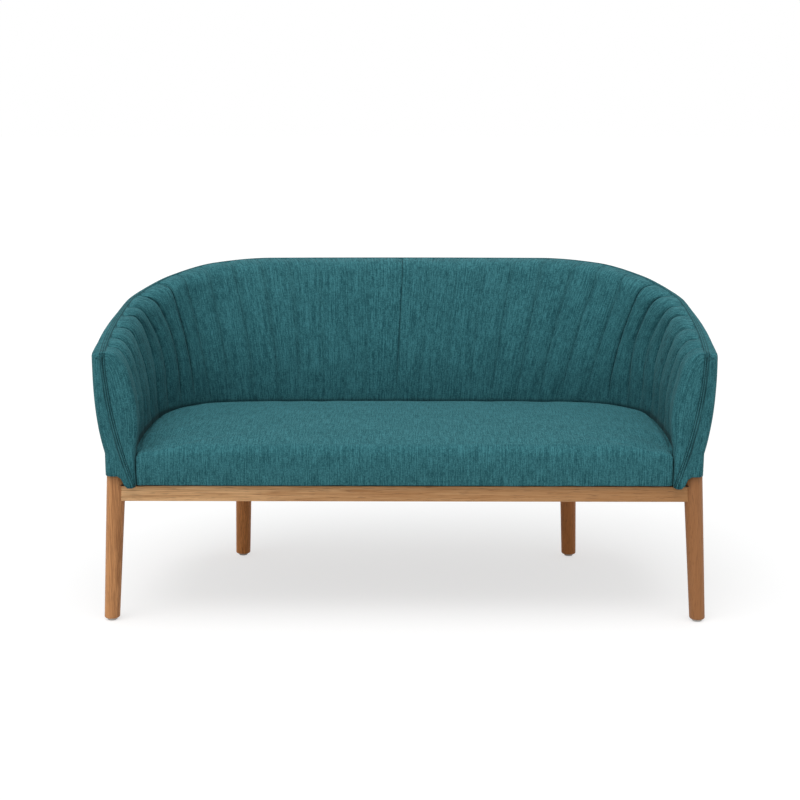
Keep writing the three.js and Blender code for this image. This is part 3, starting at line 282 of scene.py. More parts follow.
@dataclass(frozen=True)
class TubWall:
    """Sizes of the curved wall that makes the back and both arms."""

    height: float = 0.745
    arm_height: float = 0.606
    front: float = -0.350
    arm_reach: float = 0.083
    front_reach: float = 0.0892
    back_reach: float = 0.160
    sill_depth: float = 0.065
    sill_growth_share: float = 0.41
    top_thickness: float = 0.080
    roll_height: float = 0.034
    lean_start: float = 0.400
    flare_start: float = 0.384
    bottom: float = 0.3124
    arm_power: float = 3.0
    back_power: float = 1.4
    back_inset: float = 0.010
    arm_inset: float = 0.0300
    edge_share: float = 0.982
    seam_tip_share: float = 0.03
    seam_curve_top: float = 0.606
    seam_curve_power: float = 1.8
    seat_line: TubLine = TubLine(0.596, 0.190, -0.350, 0.190, 2.2, math.radians(3))
    top_line: TubLine = TubLine(0.679, 0.350, -0.350, 0.285, 3.8, math.radians(3.5))
    top_drop_shares: tuple[Pair, ...] = (
        (0, 0), (0.28, 0), (0.4, 0.075), (0.5, 0.252), (0.6, 0.462), (0.7, 0.585),
        (0.8, 0.710), (0.9, 0.845), (1, 1),
    )
    inset_growth_shares: tuple[Pair, ...] = (
        (0, 0), (0.38, 0), (0.5, 0.24), (0.6, 0.44), (0.7, 0.58), (0.8, 0.68), (0.9, 0.8), (1, 1),
    )

    def section(self, share: Array) -> Section:
        """Return the wall's section.

        Args:
            share: Shares of the way to an arm front, negative on the left.

        Returns:
            The section at each share.
        """
        share = np.asarray(share, float)
        base = self.seat_line.at(share)
        across = self.top_line.at(share) - base
        reach = np.linalg.norm(across, axis=-1)
        armward = np.clip((self.back_reach - reach) / (self.back_reach - self.arm_reach), 0, 1)
        drop = eased_steps(self.top_drop_shares, np.abs(share))
        growth = eased_steps(self.inset_growth_shares, np.abs(share))
        return Section(
            share=share,
            base=base,
            out=across / reach[..., None],
            reach=reach,
            top=self.height - (self.height - self.arm_height) * drop,
            sill=self.sill_depth + (reach - self.arm_reach) * self.sill_growth_share,
            power=self.back_power + (self.arm_power - self.back_power) * armward,
            inset=self.back_inset + (self.arm_inset - self.back_inset) * growth,
        )

    def front_seam_depth(self, height: Array) -> Array:
        """Return how deep the double seam lies on the arm's front.

        Args:
            height: Heights above the floor, in metres.

        Returns:
            Depths into the wall, in metres.
        """
        rise = (height - self.bottom) / (self.seam_curve_top - self.bottom)
        left = (1 - np.clip(rise, 0, 1)) ** self.seam_curve_power
        return (self.front_reach - self.arm_inset) * (1 - (1 - self.seam_tip_share) * left)


@dataclass(frozen=True)
class Channels:
    """Where the hand-laid seams of the inner cover stand, from the left arm to the right.

    Each seam stands at one share of the tub's length at the seat and at another at the top.
    The seams of the back run straight, those of the arms stay upright for a length and then
    fan out. Seams are counted from the middle one, and lengths are in metres up the cover.
    """

    seat_shares: tuple[float, ...] = (
        -0.982, -0.900, -0.815, -0.720, -0.647, -0.592, -0.546, -0.510, -0.470, -0.423, -0.364,
        -0.305, -0.256, -0.198, -0.147, -0.094, -0.024, 0.031, 0.094, 0.153, 0.207, 0.267,
        0.320, 0.372, 0.430, 0.488, 0.537, 0.582, 0.633, 0.695, 0.778, 0.886, 0.982,
    )
    top_shares: tuple[float, ...] = (
        -0.982, -0.952, -0.902, -0.834, -0.758, -0.698, -0.612, -0.539, -0.490, -0.434, -0.377,
        -0.316, -0.254, -0.190, -0.128, -0.082, -0.008, 0.056, 0.113, 0.175, 0.234, 0.297,
        0.363, 0.419, 0.478, 0.543, 0.606, 0.683, 0.756, 0.843, 0.904, 0.955, 0.982,
    )
    first_fanned: int = 8
    face_length: float = 0.289
    face_loss: float = 0.0195
    roll_length: float = 0.075
    upright_lengths: tuple[Pair, ...] = (
        (8, 0), (9, 0.04), (10, 0.1), (12, 0.1), (13, 0),
    )
    fan_powers: tuple[Pair, ...] = ((8, 1), (9, 1.5), (10, 2), (13, 2), (14, 1.3))

    @property
    def per_side(self) -> int:
        """Return how many channels lie on each side of the middle seam."""
        return len(self.seat_shares) // 2

    def share(self, channel: Array, rows: Array) -> Array:
        """Return the wall's share under a place across the channels.

        Args:
            channel: Place across the channels, whole numbers at the seams.
            rows: From 1 at the seat to 2 under the roll and 3 at its top.

        Returns:
            Shares of the tub's length.
        """
        numbers = np.arange(-self.per_side, self.per_side + 1)
        low = np.interp(channel, numbers, self.seat_shares)
        high = np.interp(channel, numbers, self.top_shares)
        outward = np.abs(channel)
        rise = np.clip(rows - 1, 0, 1)
        face = self.face_length - self.face_loss * (outward - self.first_fanned)
        climbed = face * rise + self.roll_length * np.clip(rows - 2, 0, 1)
        start = np.interp(outward, *zip(*self.upright_lengths))
        power = np.interp(outward, *zip(*self.fan_powers))
        sweep = np.clip((climbed - start) / (face + self.roll_length - start), 0, 1) ** power
        fanned = smooth(outward, self.first_fanned, self.first_fanned + 1)
        return low + (high - low) * (rise + (sweep - rise) * fanned)


def mesh_object(name: str, points: Array, faces: Sequence[Sequence[int]]) -> Piece:
    """Make a smooth-shaded mesh object in the scene.

    Args:
        name: The piece's name.
        points: Its corner points, one row each.
        faces: Corner numbers of each face.

    Returns:
        The new object.
    """
    mesh = bpy.data.meshes.new(name)
    mesh.from_pydata(np.asarray(points).reshape(-1, 3).tolist(), [], [list(f) for f in faces])
    mesh.validate()
    shell = bmesh.new()
    shell.from_mesh(mesh)
    bmesh.ops.recalc_face_normals(shell, faces=shell.faces)
    shell.to_mesh(mesh)
    shell.free()
    mesh.update()
    mesh.polygons.foreach_set("use_smooth", np.ones(len(mesh.polygons), bool))
    piece = bpy.data.objects.new(name, mesh)
    bpy.context.scene.collection.objects.link(piece)
    return piece


def store(piece: Piece, name: str, values: Array) -> None:
    """Keep a number or a vector for each point of a piece, for its material to read.

    Args:
        piece: The piece.
        name: What the material calls it.
        values: One number or vector for each point.
    """
    flat = np.asarray(values, np.float32).ravel()
    kind, part = ("FLOAT", "value")
    if len(flat) > len(piece.data.vertices):
        kind, part = ("FLOAT_VECTOR", "vector")
    piece.data.attributes.new(name, kind, "POINT").data.foreach_set(part, flat)


def lengths_along(points: Array) -> Array:
    """Return how far each point lies along its line.

    Args:
        points: Points of one or more lines, along the first axis.

    Returns:
        Distances from the first point.
    """
    steps = np.linalg.norm(np.diff(points, axis=0), axis=-1)
    return np.concatenate([np.zeros((1, *steps.shape[1:])), np.cumsum(steps, axis=0)])


def surface_normals(grid: Array) -> Array:
    """Return unit normals of a grid of points, rows by columns.

    Args:
        grid: Points, their coordinates in the last axis.

    Returns:
        Normals that point to the left of the columns' way, seen along the rows' way up.
    """
    up = np.gradient(grid, axis=0)
    across = np.gradient(grid, axis=1)
    normal = np.cross(across, up)
    size = np.linalg.norm(normal, axis=-1, keepdims=True)
    return normal / np.maximum(size, 1e-12)


def shell_faces(outer: int, back_rows: Sequence[int], columns: int) -> list[list[int]]:
    """Return the faces of a closed cover: an outer grid, a back grid and their joined rims.

    Args:
        outer: Rows of the outer grid, from its first edge.
        back_rows: Rows of the outer grid that lie over the back grid's rows, from its last.
        columns: Columns of both.

    Returns:
        Corner numbers of each face.
    """
    ring = outer + len(back_rows)
    faces = []
    for row in range(ring):
        following = (row + 1) % ring
        low, high = row * columns, following * columns
        for column in range(columns - 1):
            faces.append([low + column, low + column + 1, high + column + 1, high + column])
    for column in (0, columns - 1):
        for place, (high, low) in enumerate(zip(back_rows, back_rows[1:])):
            rim = [row * columns + column for row in range(high, low - 1, -1)]
            behind = (outer + place) * columns + column
            faces.append([*rim, behind + columns, behind])
    return faces


def wide_cloth(across: Array, along: Array, runs: tuple[Array, Array]) -> Array:
    """Return a cover's cloth coordinates, widened by the columns of both arm fronts.

    Args:
        across: Coordinates across the cloth, in metres, by row and column over the wall.
        along: Coordinates along it.
        runs: For the left and the right front, distances from the front edge.

    Returns:
        Both coordinates in the last axis.
    """
    left, right = runs
    wide = np.concatenate([across[:, :1] - left, across, across[:, -1:] + right], axis=1)
    margins = ((0, 0), (left.shape[1], right.shape[1]))
    return np.stack([wide, np.pad(along, margins, mode="edge")], axis=-1)


def tube_faces(rings: int, sides: int, start: int = 0) -> list[list[int]]:
    """Return the faces of a tube of rings, both its ends closed.

    Args:
        rings: How many rings it has.
        sides: Corners of each ring.
        start: Number of its first corner.

    Returns:
        Corner numbers of each face.
    """
    faces = []
    for ring in range(rings - 1):
        low, high = start + ring * sides, start + (ring + 1) * sides
        for corner in range(sides):
            after = (corner + 1) % sides
            faces.append([low + corner, low + after, high + after, high + corner])
    top = start + (rings - 1) * sides
    faces.append([start + corner for corner in reversed(range(sides))])
    faces.append([top + corner for corner in range(sides)])
    return faces


@dataclass(frozen=True)
class FrontTurn:
    """How a cover turns round the arm's front edge and on to the double seam."""

    radius: float
    crown: float
    seam_gap: float
    face_places: tuple[float, ...]
    bend_steps: int = 11
    tight_radius: float = 0.004
    crown_width: float = 0.04
    crown_peak: float = 6.75
    seam_band_width: float = 0.026
    hem_band: Pair = (0.06, 0.035)
    hem_delay: float = 0.3
    hem_squeeze: float = 0.64
    lobe_drop: float = 0.0035
    lobe_height: float = 0.028
    lobe_depth: Pair = (0.009, 0.008)
    lobe_sides: Ramp = Ramp(-0.001, 0.012)


@dataclass
class TubCover:
    """A closed cover that follows the tub wall and turns on to both arm fronts.

    Its outside is 1 where it lies outside the double seam, and -1 inside it.
    """

    wall: TubWall
    turn: FrontTurn
    outside: int

    def turn_radius(self, depth: Array, height: Array, run: Array) -> Array:
        """Return how far each row is drawn in round the arm's front edge."""
        raise NotImplementedError

    def front_columns(
        self, edge: Section, depth: Array, height: Array, run: Array
    ) -> tuple[Array, Array, Array]:
        """Return the columns from the wall's front edge to the double seam.

        Args:
            edge: The wall's section where the turn starts, one entry for each row.
            depth: Depth of each row there.
            height: Height of each row there.
            run: Each row's distance along the section.

        Returns:
            The points by row and column, how far each lies from the seam, and how far each
            lies from the front edge along its row.
        """
        wall, turn = self.wall, self.turn
        radius = self.turn_radius(depth, height, run)
        ahead, rise = np.gradient(depth), np.gradient(height)
        size = np.maximum(np.hypot(ahead, rise), 1e-9)
        inward = np.stack([rise / size, -ahead / size], axis=-1)
        start = edge.point(depth, height)
        forward = start[:, 1] - wall.front
        columns = []
        for step in range(1, turn.bend_steps + 1):
            angle = math.pi / 2 * step / turn.bend_steps
            drawn = radius * (1 - math.cos(angle))
            points = edge.point(depth + inward[:, 0] * drawn, height + inward[:, 1] * drawn)
            points[:, 1] = start[:, 1] - forward * math.sin(angle)
            columns.append(points)
        flat = columns[-1]
        tip = wall.section(np.full(len(depth), float(np.sign(edge.share[0]))))
        first, last = (flat[0, 2], wall.bottom) if self.outside > 0 else (wall.bottom, flat[-1, 2])
        seam_height = first + (last - first) * (run / run[-1])
        seam_depth = wall.front_seam_depth(seam_height) + self.outside * turn.seam_gap
        seam = tip.point(seam_depth, seam_height)
        seam[:, 1] = wall.front
        span = np.linalg.norm(seam - flat, axis=-1)
        hem_top, hem_ease = turn.hem_band
        low = smooth(wall.bottom + hem_top - flat[:, 2], 0, hem_ease) * (self.outside > 0)
        full = turn.crown * np.minimum(span / turn.crown_width, 1) ** 2 * turn.crown_peak
        for place in turn.face_places:
            share = self.face_share(place, span)
            points = flat + (seam - flat) * share[:, None]
            eased = smooth(share - turn.hem_delay * low, 0, 1 - turn.hem_squeeze * low)
            points[:, 2] = flat[:, 2] + (seam[:, 2] - flat[:, 2]) * eased
            points[:, 1] = wall.front - full * share**2 * (1 - share)
            columns.append(points)
        grid = np.stack(columns, axis=1)
        lobe_back, lobe_ease = turn.lobe_depth
        hanging = smooth(wall.front + lobe_back - grid[..., 1], 0, lobe_ease)
        below = wall.bottom + turn.lobe_height - grid[..., 2]
        hanging = hanging * smooth(below, 0, turn.lobe_height)
        hanging = hanging * turn.lobe_sides.at(np.abs(grid[..., 0] - tip.base[0, 0]))
        grid[..., 2] -= turn.lobe_drop * hanging
        seam_x = tip.base[0, 0] + tip.out[0, 0] * wall.front_seam_depth(grid[..., 2])
        gap = np.abs(grid[..., 0] - seam_x)
        lines = np.concatenate([start[:, None], grid], axis=1).swapaxes(0, 1)
        return grid, gap, lengths_along(lines)[1:].T

    def face_share(self, place: float, span: Array) -> Array:
        """Return how far across the arm's front a column lies, from its edge to the seam.

        Args:
            place: A plain share, or where below 0 a distance from the seam, in metres.
            span: Width of the front at each row.

        Returns:
            A share of the width for each row.
        """
        if place > 0:
            return np.full_like(span, place)
        narrowed = np.minimum(1, span / self.turn.seam_band_width)
        return 1 + place * narrowed / np.maximum(span, 1e-4)

    def fronts(
        self, shares: Array, depth: Array, height: Array, run: Array
    ) -> tuple[tuple[Array, Array], ...]:
        """Return both arm fronts, their columns in the order of the whole cover's.

        Args:
            shares: The wall's share at each row and column.
            depth: Depth into the wall there.
            height: Height above the floor there.
            run: Distance along the section there.

        Returns:
            Pairs for the left and the right front: the points, their distances from the seam,
            and their distances from the front edge.
        """
        sides = [
            self.front_columns(
                self.wall.section(shares[:, column]), depth[:, column], height[:, column],
                run[:, column],
            )
            for column in (0, -1)
        ]
        return tuple((left[:, ::-1], right) for left, right in zip(*sides))

    @staticmethod
    def closed(
        name: str, outer: Array, back: Array, back_rows: Sequence[int], cloth: Array,
        **marks: Array,
    ) -> Piece:
        """Make the closed piece, and keep its cloth's coordinates and marks on it.

        Args:
            name: The piece's name.
            outer: Points of its outer side, by row and column.
            back: Points of its back.
            back_rows: Rows of the outer side that lie over the back's rows.
            cloth: Coordinates across and along the cloth, in metres, by row and column.
            marks: Values for its material, by row and column.

        Returns:
            The piece.
        """
        faces = shell_faces(len(outer), back_rows, outer.shape[1])
        piece = mesh_object(name, np.concatenate([outer, back], axis=0), faces)
        flat = np.concatenate([cloth, cloth[back_rows]], axis=0)
        depth = np.zeros((*flat.shape[:2], 1))
        store(piece, "cloth", np.concatenate([flat, depth], axis=-1))
        for mark, values in marks.items():
            store(piece, mark, np.concatenate([values, values[back_rows]], axis=0))
        return piece


@dataclass(frozen=True)
class QuiltSeams:
    """How the channels' seams draw the inner cover in, and where shade is painted on it.

    They are faint in the middle of the back, clear towards its ends and deep on the arms. The
    rows are numbered as in InnerCover.
    """

    last: int = 15
    arm: Ramp = Ramp(8, 10.5)
    back_tightness: Ramp = Ramp(2.5, 6, 0.1, 0.2)
    arm_tightness: Ramp = Ramp(7.4, 9.2, 0.0, 0.7)
    middle_tightness: float = 0.85
    low_end: Ramp = Ramp(1.0, 1.45, 0.35, 0.65)
    crease: float = 0.0004
    tight_crease: float = 0.0030
    arm_crease: float = 0.0028
    crease_width: float = 0.0015
    arm_crease_width: float = 0.0008
    roll_loss: float = 0.4
    swell: float = 0.0042
    top_swell_loss: float = 0.0014
    arm_swell: float = 0.0044
    pillow_power: float = 0.8
    lip_fade: Ramp = Ramp(3.3, 3.95, 1.0, -1.0)
    tail_fade: Ramp = Ramp(0.97, 1.2, 0.2, 0.8)
    clearness: float = 1.1
    faint_gap: float = 0.0022
    line: float = 1.35
    arm_line_growth: float = 0.6
    roll_line_growth: float = 0.35
    roll_start: Ramp = Ramp(1.8, 2.4)
    # Painted shade: bands beside the seams, the corners by the seat and the arms' low insides.
    back_band: Ramp = Ramp(2.5, 5.0, 0.1, 0.9)
    roll_band: Ramp = Ramp(2.2, 3.2, 1.0, -0.75)
    band_width: float = 0.011
    arm_band_loss: float = 0.004
    band: float = 0.7
    arm_band: float = 0.1
    seat_shade: Ramp = Ramp(5, 9, 0.55, 0.4)
    seat_fade: Ramp = Ramp(1.0, 1.6)
    arm_shade: float = 0.45

    def drawn(self, channel: Array, rows: Array, width: Array) -> tuple[Array, Array, Array]:
        """Return how far the seams draw the cover in, and their marks.

        Args:
            channel: Place across the channels, whole numbers at the seams.
            rows: Row numbers.
            width: Width of a channel there, in metres.

        Returns:
            Depths; distances from the nearest seam that shows, in metres, for a dark line that is
            part sewn joint and part painted crease shade; and painted shade from 0 to 1, in bands
            beside the seams, low in the corners by the seat and low on the arms' insides.
        """
        nearest = np.clip(np.round(channel), -self.last, self.last)
        across = np.abs(channel - nearest)
        gap = across * width
        outward = np.abs(nearest)
        on_arm = self.arm.at(np.abs(channel))
        tightness = self.back_tightness.at(outward) + self.arm_tightness.at(outward)
        tightness = np.where(outward < 0.5, self.middle_tightness, tightness)
        low_end = self.low_end.at(rows)
        crease = self.crease + self.tight_crease * tightness + self.arm_crease * on_arm
        crease = crease * low_end * (1 - self.roll_loss * np.clip(rows - 2.5, 0, 1))
        up = np.clip((rows - 1) / 2, 0, 1)
        swell = self.swell - self.top_swell_loss * up + self.arm_swell * on_arm
        swell = np.where(across > 0.5, 0, swell)
        pillow = 1 - np.abs(np.sin(math.pi * np.clip(across, 0, 0.5))) ** self.pillow_power
        fade = self.lip_fade.at(rows) * self.tail_fade.at(rows)
        sharp = np.exp(-gap / (self.crease_width + self.arm_crease_width * on_arm))
        drawn = swell * pillow + crease * sharp
        # Painted crease shade: a dark line along each seam, faint in the middle of the back and
        # widened over the arms' roll; part of it is the sewn joint.
        clear = np.clip(tightness * self.clearness, 0, 1) * fade * low_end
        rolled = self.roll_start.at(rows)
        line = self.line - self.arm_line_growth * on_arm - self.roll_line_growth * on_arm * rolled
        line_shade_gap = gap * line + self.faint_gap * (1 - clear)
        # Painted shade: soft dark bands beside the seams, fading over the roll.
        shade_banded = self.back_band.at(outward) * self.roll_band.at(rows) * (across <= 0.5)
        band = np.exp(-((gap / (self.band_width - self.arm_band_loss * on_arm)) ** 2))
        fold = shade_banded * band * (self.band + self.arm_band * on_arm)
        # Painted shade low in the corners by the seat, and low on the arms' insides.
        seat_shade = self.seat_shade.at(np.abs(channel))
        fold = fold + (1 - fold) * seat_shade * (1 - self.seat_fade.at(rows))
        fold = fold + (1 - fold) * self.arm_shade * on_arm * (1 - rolled)
        return drawn * fade, line_shade_gap, fold


@dataclass
class InnerCover(TubCover):
    """The cover inside the tub: upright stitched channels that fan out over the arms.

    Its rows are numbered from 0 to 1 up the tail behind the seat, to 2 up the leaning face, to
    3 over the roll and to 4 along the lip at the double seam.
    """

    turn: FrontTurn = FrontTurn(
        radius=0.027,
        crown=0.0030,
        seam_gap=-0.0005,
        face_places=(0.1, 0.22, 0.36, 0.5, 0.64, 0.77, 0.87, 0.93, 0.965, 0.985, 1.0),
    )
    outside: int = -1
    channels: Channels = Channels()
    seams: QuiltSeams = QuiltSeams()
    cell_places: tuple[float, ...] = (
        0.0, 0.012, 0.03, 0.06, 0.11, 0.19, 0.31, 0.5, 0.69, 0.81, 0.89, 0.94, 0.97, 0.988,
    )
    row_counts: tuple[int, ...] = (8, 45, 14)
    lip_places: tuple[float, ...] = (0, 0.25, 0.45, 0.62, 0.75, 0.85, 0.93, 1)
    back_rows: tuple[int, ...] = (74, 70, 64, 57, 50, 40, 28, 16, 8, 0)
    channel_width: float = 0.0535
    thickness: float = 0.009
    edge_thickness: float = 0.003
    roll_thinning: Ramp = Ramp(2.6, 3.2)
    thinned_share: float = 0.8
    lip: float = 0.009
    tail_start: float = 0.386
    front_end: Ramp = Ramp(0.955, 0.975)
    front_lift: float = 0.001
    arm: Ramp = Ramp(0.45, 0.8)
    arm_roll_growth: float = 0.022
    hollow: float = 1.5
    bulge: float = 0.003
    arm_bulge: float = 0.006
    bulge_power: float = 0.9
    roll_grip: Pair = (0.022, 0.008)
    roll_crest: Pair = (0.018, 0.004)
    soft_share: Ramp = Ramp(0.38, 0.44, 0.3, 0.2)
    least_radius: float = 0.0008
    tight_rows: Ramp = Ramp(2.3, 3.9)
    wander: float = 0.02
    wander_seed: int = 3
    wander_step: Pair = (0.31, 0.11)
    wander_length: float = 0.5
    # Painted contact shade over the seat and painted shade in the lip's rim seam; the joint's dark
    # line is part sewn joint, part painted shade.
    seat_contact: Pair = (0.0006, 0.15)
    front_contact: Ramp = Ramp(0.94, 0.975, 0.0, 0.002)
    lip_shade: Pair = (0.45, 0.0002)
    joint_shade: float = 0.0005
    tuck: float = 0.0004
    tuck_width: float = 0.0012
    ripple: float = 0.0006
    ripple_seed: int = 5
    ripple_length: float = 0.075
    ripple_margin: float = 0.01

    @property
    def rows(self) -> Array:
        """Return the row numbers, from the tail to the double seam."""
        spans = [k + np.linspace(0, 1, count + 1)[:-1] for k, count in enumerate(self.row_counts)]
        return np.concatenate([*spans, 3 + np.array(self.lip_places)])

    def path(self, section: Section, rows: Array) -> tuple[Array, Array]:
        """Return depth and height of the rows' places, without the channels.

        Args:
            section: The wall's section at each place.
            rows: Row numbers.

        Returns:
            Depths and heights, in metres.
        """
        wall = self.wall
        drop = self.tail_start - wall.bottom - self.front_lift
        start = self.tail_start - drop * self.front_end.at(np.abs(section.share))
        on_arm = self.arm.at(np.abs(section.share))
        foot = section.top - wall.roll_height - self.arm_roll_growth * on_arm
        lean = section.reach - wall.top_thickness
        face = np.clip(rows - 1, 0, 1)
        bulge = self.bulge + self.arm_bulge * on_arm
        depth = face**self.hollow * lean - bulge * np.sin(math.pi * face**self.bulge_power)
        height = start + (wall.lean_start - start) * np.clip(rows, 0, 1)
        height = height + (foot - wall.lean_start) * face
        steep = self.hollow * lean + self.bulge_power * math.pi * bulge
        slope = np.hypot(steep, foot - wall.lean_start)
        grip = self.roll_grip[0] + self.roll_grip[1] * on_arm
        edge = section.reach - section.inset - self.turn.seam_gap
        corners = [
            (lean, foot),
            (lean + grip * steep / slope, foot + grip * (foot - wall.lean_start) / slope),
            (lean + self.roll_crest[0] + self.roll_crest[1] * on_arm, section.top),
            (edge - self.lip, section.top),
        ]
        roll = np.clip(rows - 2, 0, 1)
        weights = [(1 - roll) ** 3, 3 * roll * (1 - roll) ** 2, 3 * roll**2 * (1 - roll), roll**3]
        turned_depth = sum(weight * corner[0] for weight, corner in zip(weights, corners))
        turned_height = sum(weight * corner[1] for weight, corner in zip(weights, corners))
        depth = np.where(rows > 2, turned_depth, depth) + self.lip * np.clip(rows - 3, 0, 1)
        return depth, np.where(rows > 2, turned_height, height)

    def turn_radius(self, depth: Array, height: Array, run: Array) -> Array:
        """Return how far each row is drawn in round the arm's front edge.

        Args:
            depth: Depth of each row at the edge.
            height: Height of each row there.
            run: Each row's distance along the section.

        Returns:
            Radii in metres: full and soft on the inside, tight beside the double seam.
        """
        room = self.wall.front_seam_depth(height) - depth
        soft = np.clip(self.soft_share.at(height) * room, self.least_radius, self.turn.radius)
        return soft + (self.turn.tight_radius - soft) * self.tight_rows.at(self.rows)

    def layout(self) -> tuple[Array, Array]:
        """Return the columns' places across the channels, and the wall's share under each row.

        Returns:
            Places, whole numbers at the seams, and shares by row and column.
        """
        per_side = self.channels.per_side
        cells = np.arange(-per_side, per_side)
        across = (cells[:, None] + np.array(self.cell_places)).ravel()
        across = np.append(across, per_side)
        rows = self.rows[:, None]
        seam_step, row_step = self.wander_step
        ripple = Ripple(self.wander_seed)
        wander = ripple.at(np.round(across) * seam_step, rows * row_step, self.wander_length)
        wander = wander * self.wander * np.clip((rows - 1) * 2, 0, 1)
        wander = wander * (np.abs(across) < per_side - 0.5)
        place = across + wander * (np.abs(np.round(across)) > 0.5)
        return across, self.channels.share(place, np.broadcast_to(rows, place.shape))

    def back_points(self, base: Array, normal: Array, tuck: Array, front: int) -> Array:
        """Return the points of the cover's back, thinner at the lip and towards the fronts.

        Args:
            base: Points that the cover follows, by row and column.
            normal: Its normals there.
            tuck: How far the joint is tucked in there.
            front: Columns of each arm front.

        Returns:
            Points of the rows that the back has.
        """
        spare = self.thickness - self.edge_thickness
        thick = np.full(base.shape[:2], self.thickness)
        nearing = np.linspace(1, 0, front)
        thick[:, :front] -= spare * nearing
        thick[:, -front:] -= spare * nearing[::-1]
        thick = thick - spare * self.roll_thinning.at(self.rows[:, None]) * self.thinned_share
        thick = np.maximum(thick, self.edge_thickness + tuck)
        return (base - normal * thick[..., None])[list(self.back_rows)]

    def build(self) -> Piece:
        """Returns:
            The piece.
        """
        across, shares = self.layout()
        rows = self.rows[:, None]
        section = self.wall.section(shares)
        depth, height = self.path(section, np.broadcast_to(rows, shares.shape))
        middle = section.point(depth, height)
        along = lengths_along(middle)
        whole = np.broadcast_to(across, shares.shape)
        spread = np.gradient(whole, axis=1)
        width = np.abs(np.gradient(shares, axis=1) / spread) * self.wall.top_line.length
        drawn, gap, fold = self.seams.drawn(whole, rows, width)
        # Painted shade in the valley of the rim seam, along the lip.
        lip_gap = np.where(rows > 3, (4 - rows) * self.lip * self.lip_shade[0], 1)
        seam = np.minimum(gap, lip_gap + self.lip_shade[1])
        # Painted contact shade: a dark band on the wall just above the seat pad, eased off near the
        # arm fronts.
        above = np.maximum(height - self.wall.lean_start, 0)
        contact_shade = self.seat_contact[0] + self.seat_contact[1] * above
        seam = np.minimum(seam, contact_shade + self.front_contact.at(np.abs(shares)))
        (left, right), gaps, runs = self.fronts(shares, depth, height, along)
        base = np.concatenate([left, middle, right], axis=1)
        normal = surface_normals(base)
        margins = ((0, 0), (left.shape[1], right.shape[1]))
        drawn, fold = np.pad(drawn, margins), np.pad(fold, margins)
        cloth = wide_cloth(whole * self.channel_width, along, runs)
        ripple = Ripple(self.ripple_seed).at(cloth[..., 0], cloth[..., 1], self.ripple_length)
        near = np.where(rows > 3, (1 - np.clip(rows - 3, 0, 1)) * self.lip, 1)
        near = np.concatenate([gaps[0], np.broadcast_to(near, shares.shape), gaps[1]], axis=1)
        seam = np.minimum(np.pad(seam, margins, constant_values=1), near + self.joint_shade)
        tuck = self.tuck * np.exp(-near / self.tuck_width)
        settled = 1 - np.exp(-near / self.ripple_margin)
        drawn = drawn + tuck - self.ripple * ripple * settled
        outer = base - normal * drawn[..., None]
        back = self.back_points(base, normal, tuck, left.shape[1])
        # The seam mark holds seam lines with painted crease, contact and lip shade; the fold mark
        # holds painted shade.
        piece = self.closed(
            "quilted_inner_cover", outer, back, list(self.back_rows), cloth, seam=seam, fold=fold,
        )
        return piece


